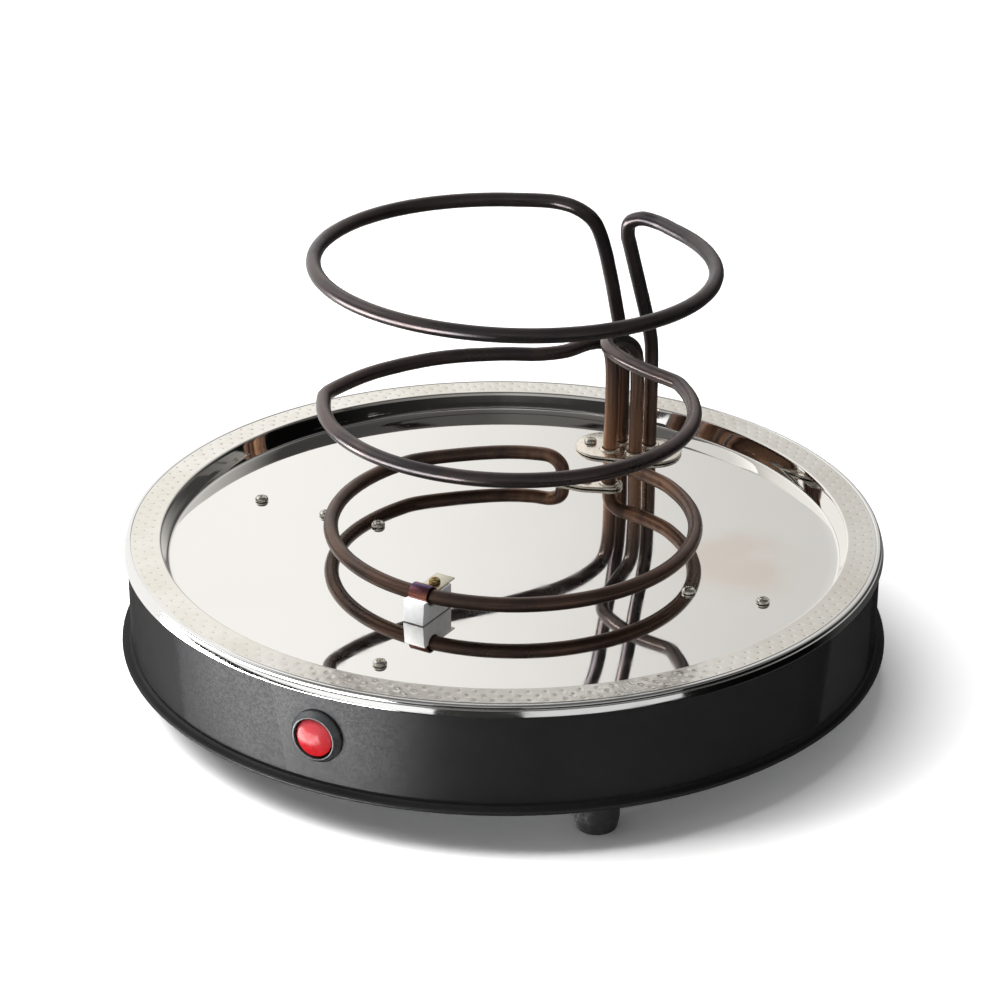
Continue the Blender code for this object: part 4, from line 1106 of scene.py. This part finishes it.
def area_light(name, azimuth, elevation, distance, width, height, radiance, glossy=True):
    """A panel as bright as asked whatever its size. One that isn't glossy is never mirrored."""
    data = bpy.data.lights.new(name, "AREA")
    data.shape = "RECTANGLE"
    data.size = width
    data.size_y = height
    data.energy = radiance * width * height * math.pi
    light = bpy.data.objects.new(name, data)
    light.visible_glossy = glossy
    aim(light, azimuth, elevation, distance)


def sun_light(name, azimuth, elevation, irradiance, spread):
    data = bpy.data.lights.new(name, "SUN")
    data.energy = irradiance
    data.angle = math.radians(spread)
    light = bpy.data.objects.new(name, data)
    light.visible_glossy = False
    aim(light, azimuth, elevation, 3.0)


def make_world():
    """What the metal mirrors: white behind the object, darker overhead, to the right and low down.

    Diffuse rays meet an even level instead, and the camera sees plain white.
    """
    world = bpy.data.worlds.new("studio")
    bpy.context.scene.world = world
    world.use_nodes = True
    tree = world.node_tree

    def add(kind, inputs, **settings):
        node = tree.nodes.new(kind)
        for key, value in settings.items():
            setattr(node, key, value)
        for key, value in inputs.items():
            if isinstance(value, bpy.types.NodeSocket):
                tree.links.new(value, node.inputs[key])
            else:
                node.inputs[key].default_value = value
        return node

    def remap(value, low, high, to_low, to_high):
        return add("ShaderNodeMapRange", {"Value": value, "From Min": low, "From Max": high,
                                          "To Min": to_low, "To Max": to_high},
                   interpolation_type="SMOOTHSTEP").outputs[0]

    def along(direction):
        node = add("ShaderNodeVectorMath", {0: ray, 1: direction}, operation="DOT_PRODUCT")
        return node.outputs["Value"]

    def combine(operation, first, second):
        return add("ShaderNodeMath", {0: first, 1: second}, operation=operation).outputs[0]

    ray = tree.nodes.new("ShaderNodeTexCoord").outputs["Generated"]
    up = along((0, 0, 1))
    behind = combine("MULTIPLY", remap(along(studio_direction(180, 0)), 0.10, 0.50, 0.0, 1.0),
                     remap(up, 0.62, 0.85, 1.0, 0.25))
    front_band = combine("MULTIPLY", remap(up, 0.20, 0.32, 0.0, FRONT_BAND_LEVEL),
                         remap(up, 0.55, 0.75, 1.0, 0.25))
    level = combine("ADD", combine("MAXIMUM", behind, front_band), DARK_LEVEL)
    right = along(studio_direction(90, 0))
    level = combine("MULTIPLY", level, remap(right, -0.08, 0.11, 1.0, 0.67))
    level = combine("MULTIPLY", level, remap(right, 0.15, 0.8, 1.0, 0.5))
    low_right = combine("MULTIPLY", remap(along(studio_direction(112, 0)), 0.25, 0.75, 0.0, 0.85),
                        remap(up, 0.12, 0.38, 1.0, 0.0))
    level = combine("MULTIPLY", level, combine("SUBTRACT", 1.0, low_right))
    tone = tree.nodes.new("ShaderNodeCombineColor")
    for channel, weight in zip(("Red", "Green", "Blue"), (1.0, 0.985, 0.965)):
        tree.links.new(combine("MULTIPLY", level, weight), tone.inputs[channel])
    sky = tree.nodes["Background"]
    tree.links.new(tone.outputs[0], sky.inputs["Color"])
    path = tree.nodes.new("ShaderNodeLightPath").outputs
    soft = add("ShaderNodeBackground", {"Color": (1, 1, 1, 1), "Strength": AMBIENT_LEVEL})
    white = add("ShaderNodeBackground", {"Color": (1, 1, 1, 1)})
    lit = add("ShaderNodeMixShader",
              {0: path["Is Diffuse Ray"], 1: sky.outputs[0], 2: soft.outputs[0]})
    both = add("ShaderNodeMixShader",
               {0: path["Is Camera Ray"], 1: lit.outputs[0], 2: white.outputs[0]})
    tree.links.new(both.outputs[0], tree.nodes["World Output"].inputs["Surface"])


def make_floor():
    """A pale disc. It isn't mirrored, so that the lip and the paint stay dark low down."""
    shade = Shade("studio_floor", (0.9, 0.9, 0.9), 0.9, 0.0, Specular_IOR_Level=0.0)
    shade.set("Base Color", shade.mix(shade.noise(2.0), (0.90, 0.90, 0.90), (0.91, 0.91, 0.905)))
    radius, top_highlight = 7.0, -0.02
    profile = [(0, 0), (radius, 0), (radius, top_highlight), (0, top_highlight)]
    floor = revolve("floor", profile, shade.material, 96, False)
    floor.visible_glossy = False


def make_studio():
    make_camera()
    make_world()
    make_floor()
    sun_light("key", -118, 66, 3.3, 52)
    area_light("left_table", -80, 46, 0.95, 0.5, 0.5, 13.0, False)
    area_light("left_panel", -57, 4, 2.0, 3.2, 0.38, 1.1)
    area_light("right_panel", 27, 4, 2.0, 1.6, 0.38, 0.7)
    area_light("low_left_glow", -72, -20, 2.0, 3.2, 1.0, 16.0)
    area_light("left_softbox", -105, 40, 2.2, 1.2, 1.2, 0.7)
    bpy.context.scene.view_settings.view_transform = "Standard"


make_loops()
make_tray()
make_skirt()
make_bottom_cover()
make_flanges()
make_standoff()
make_strap()
make_screws()
make_feet()
make_switch()
make_gland()
finish_inner_nodes()
make_studio()
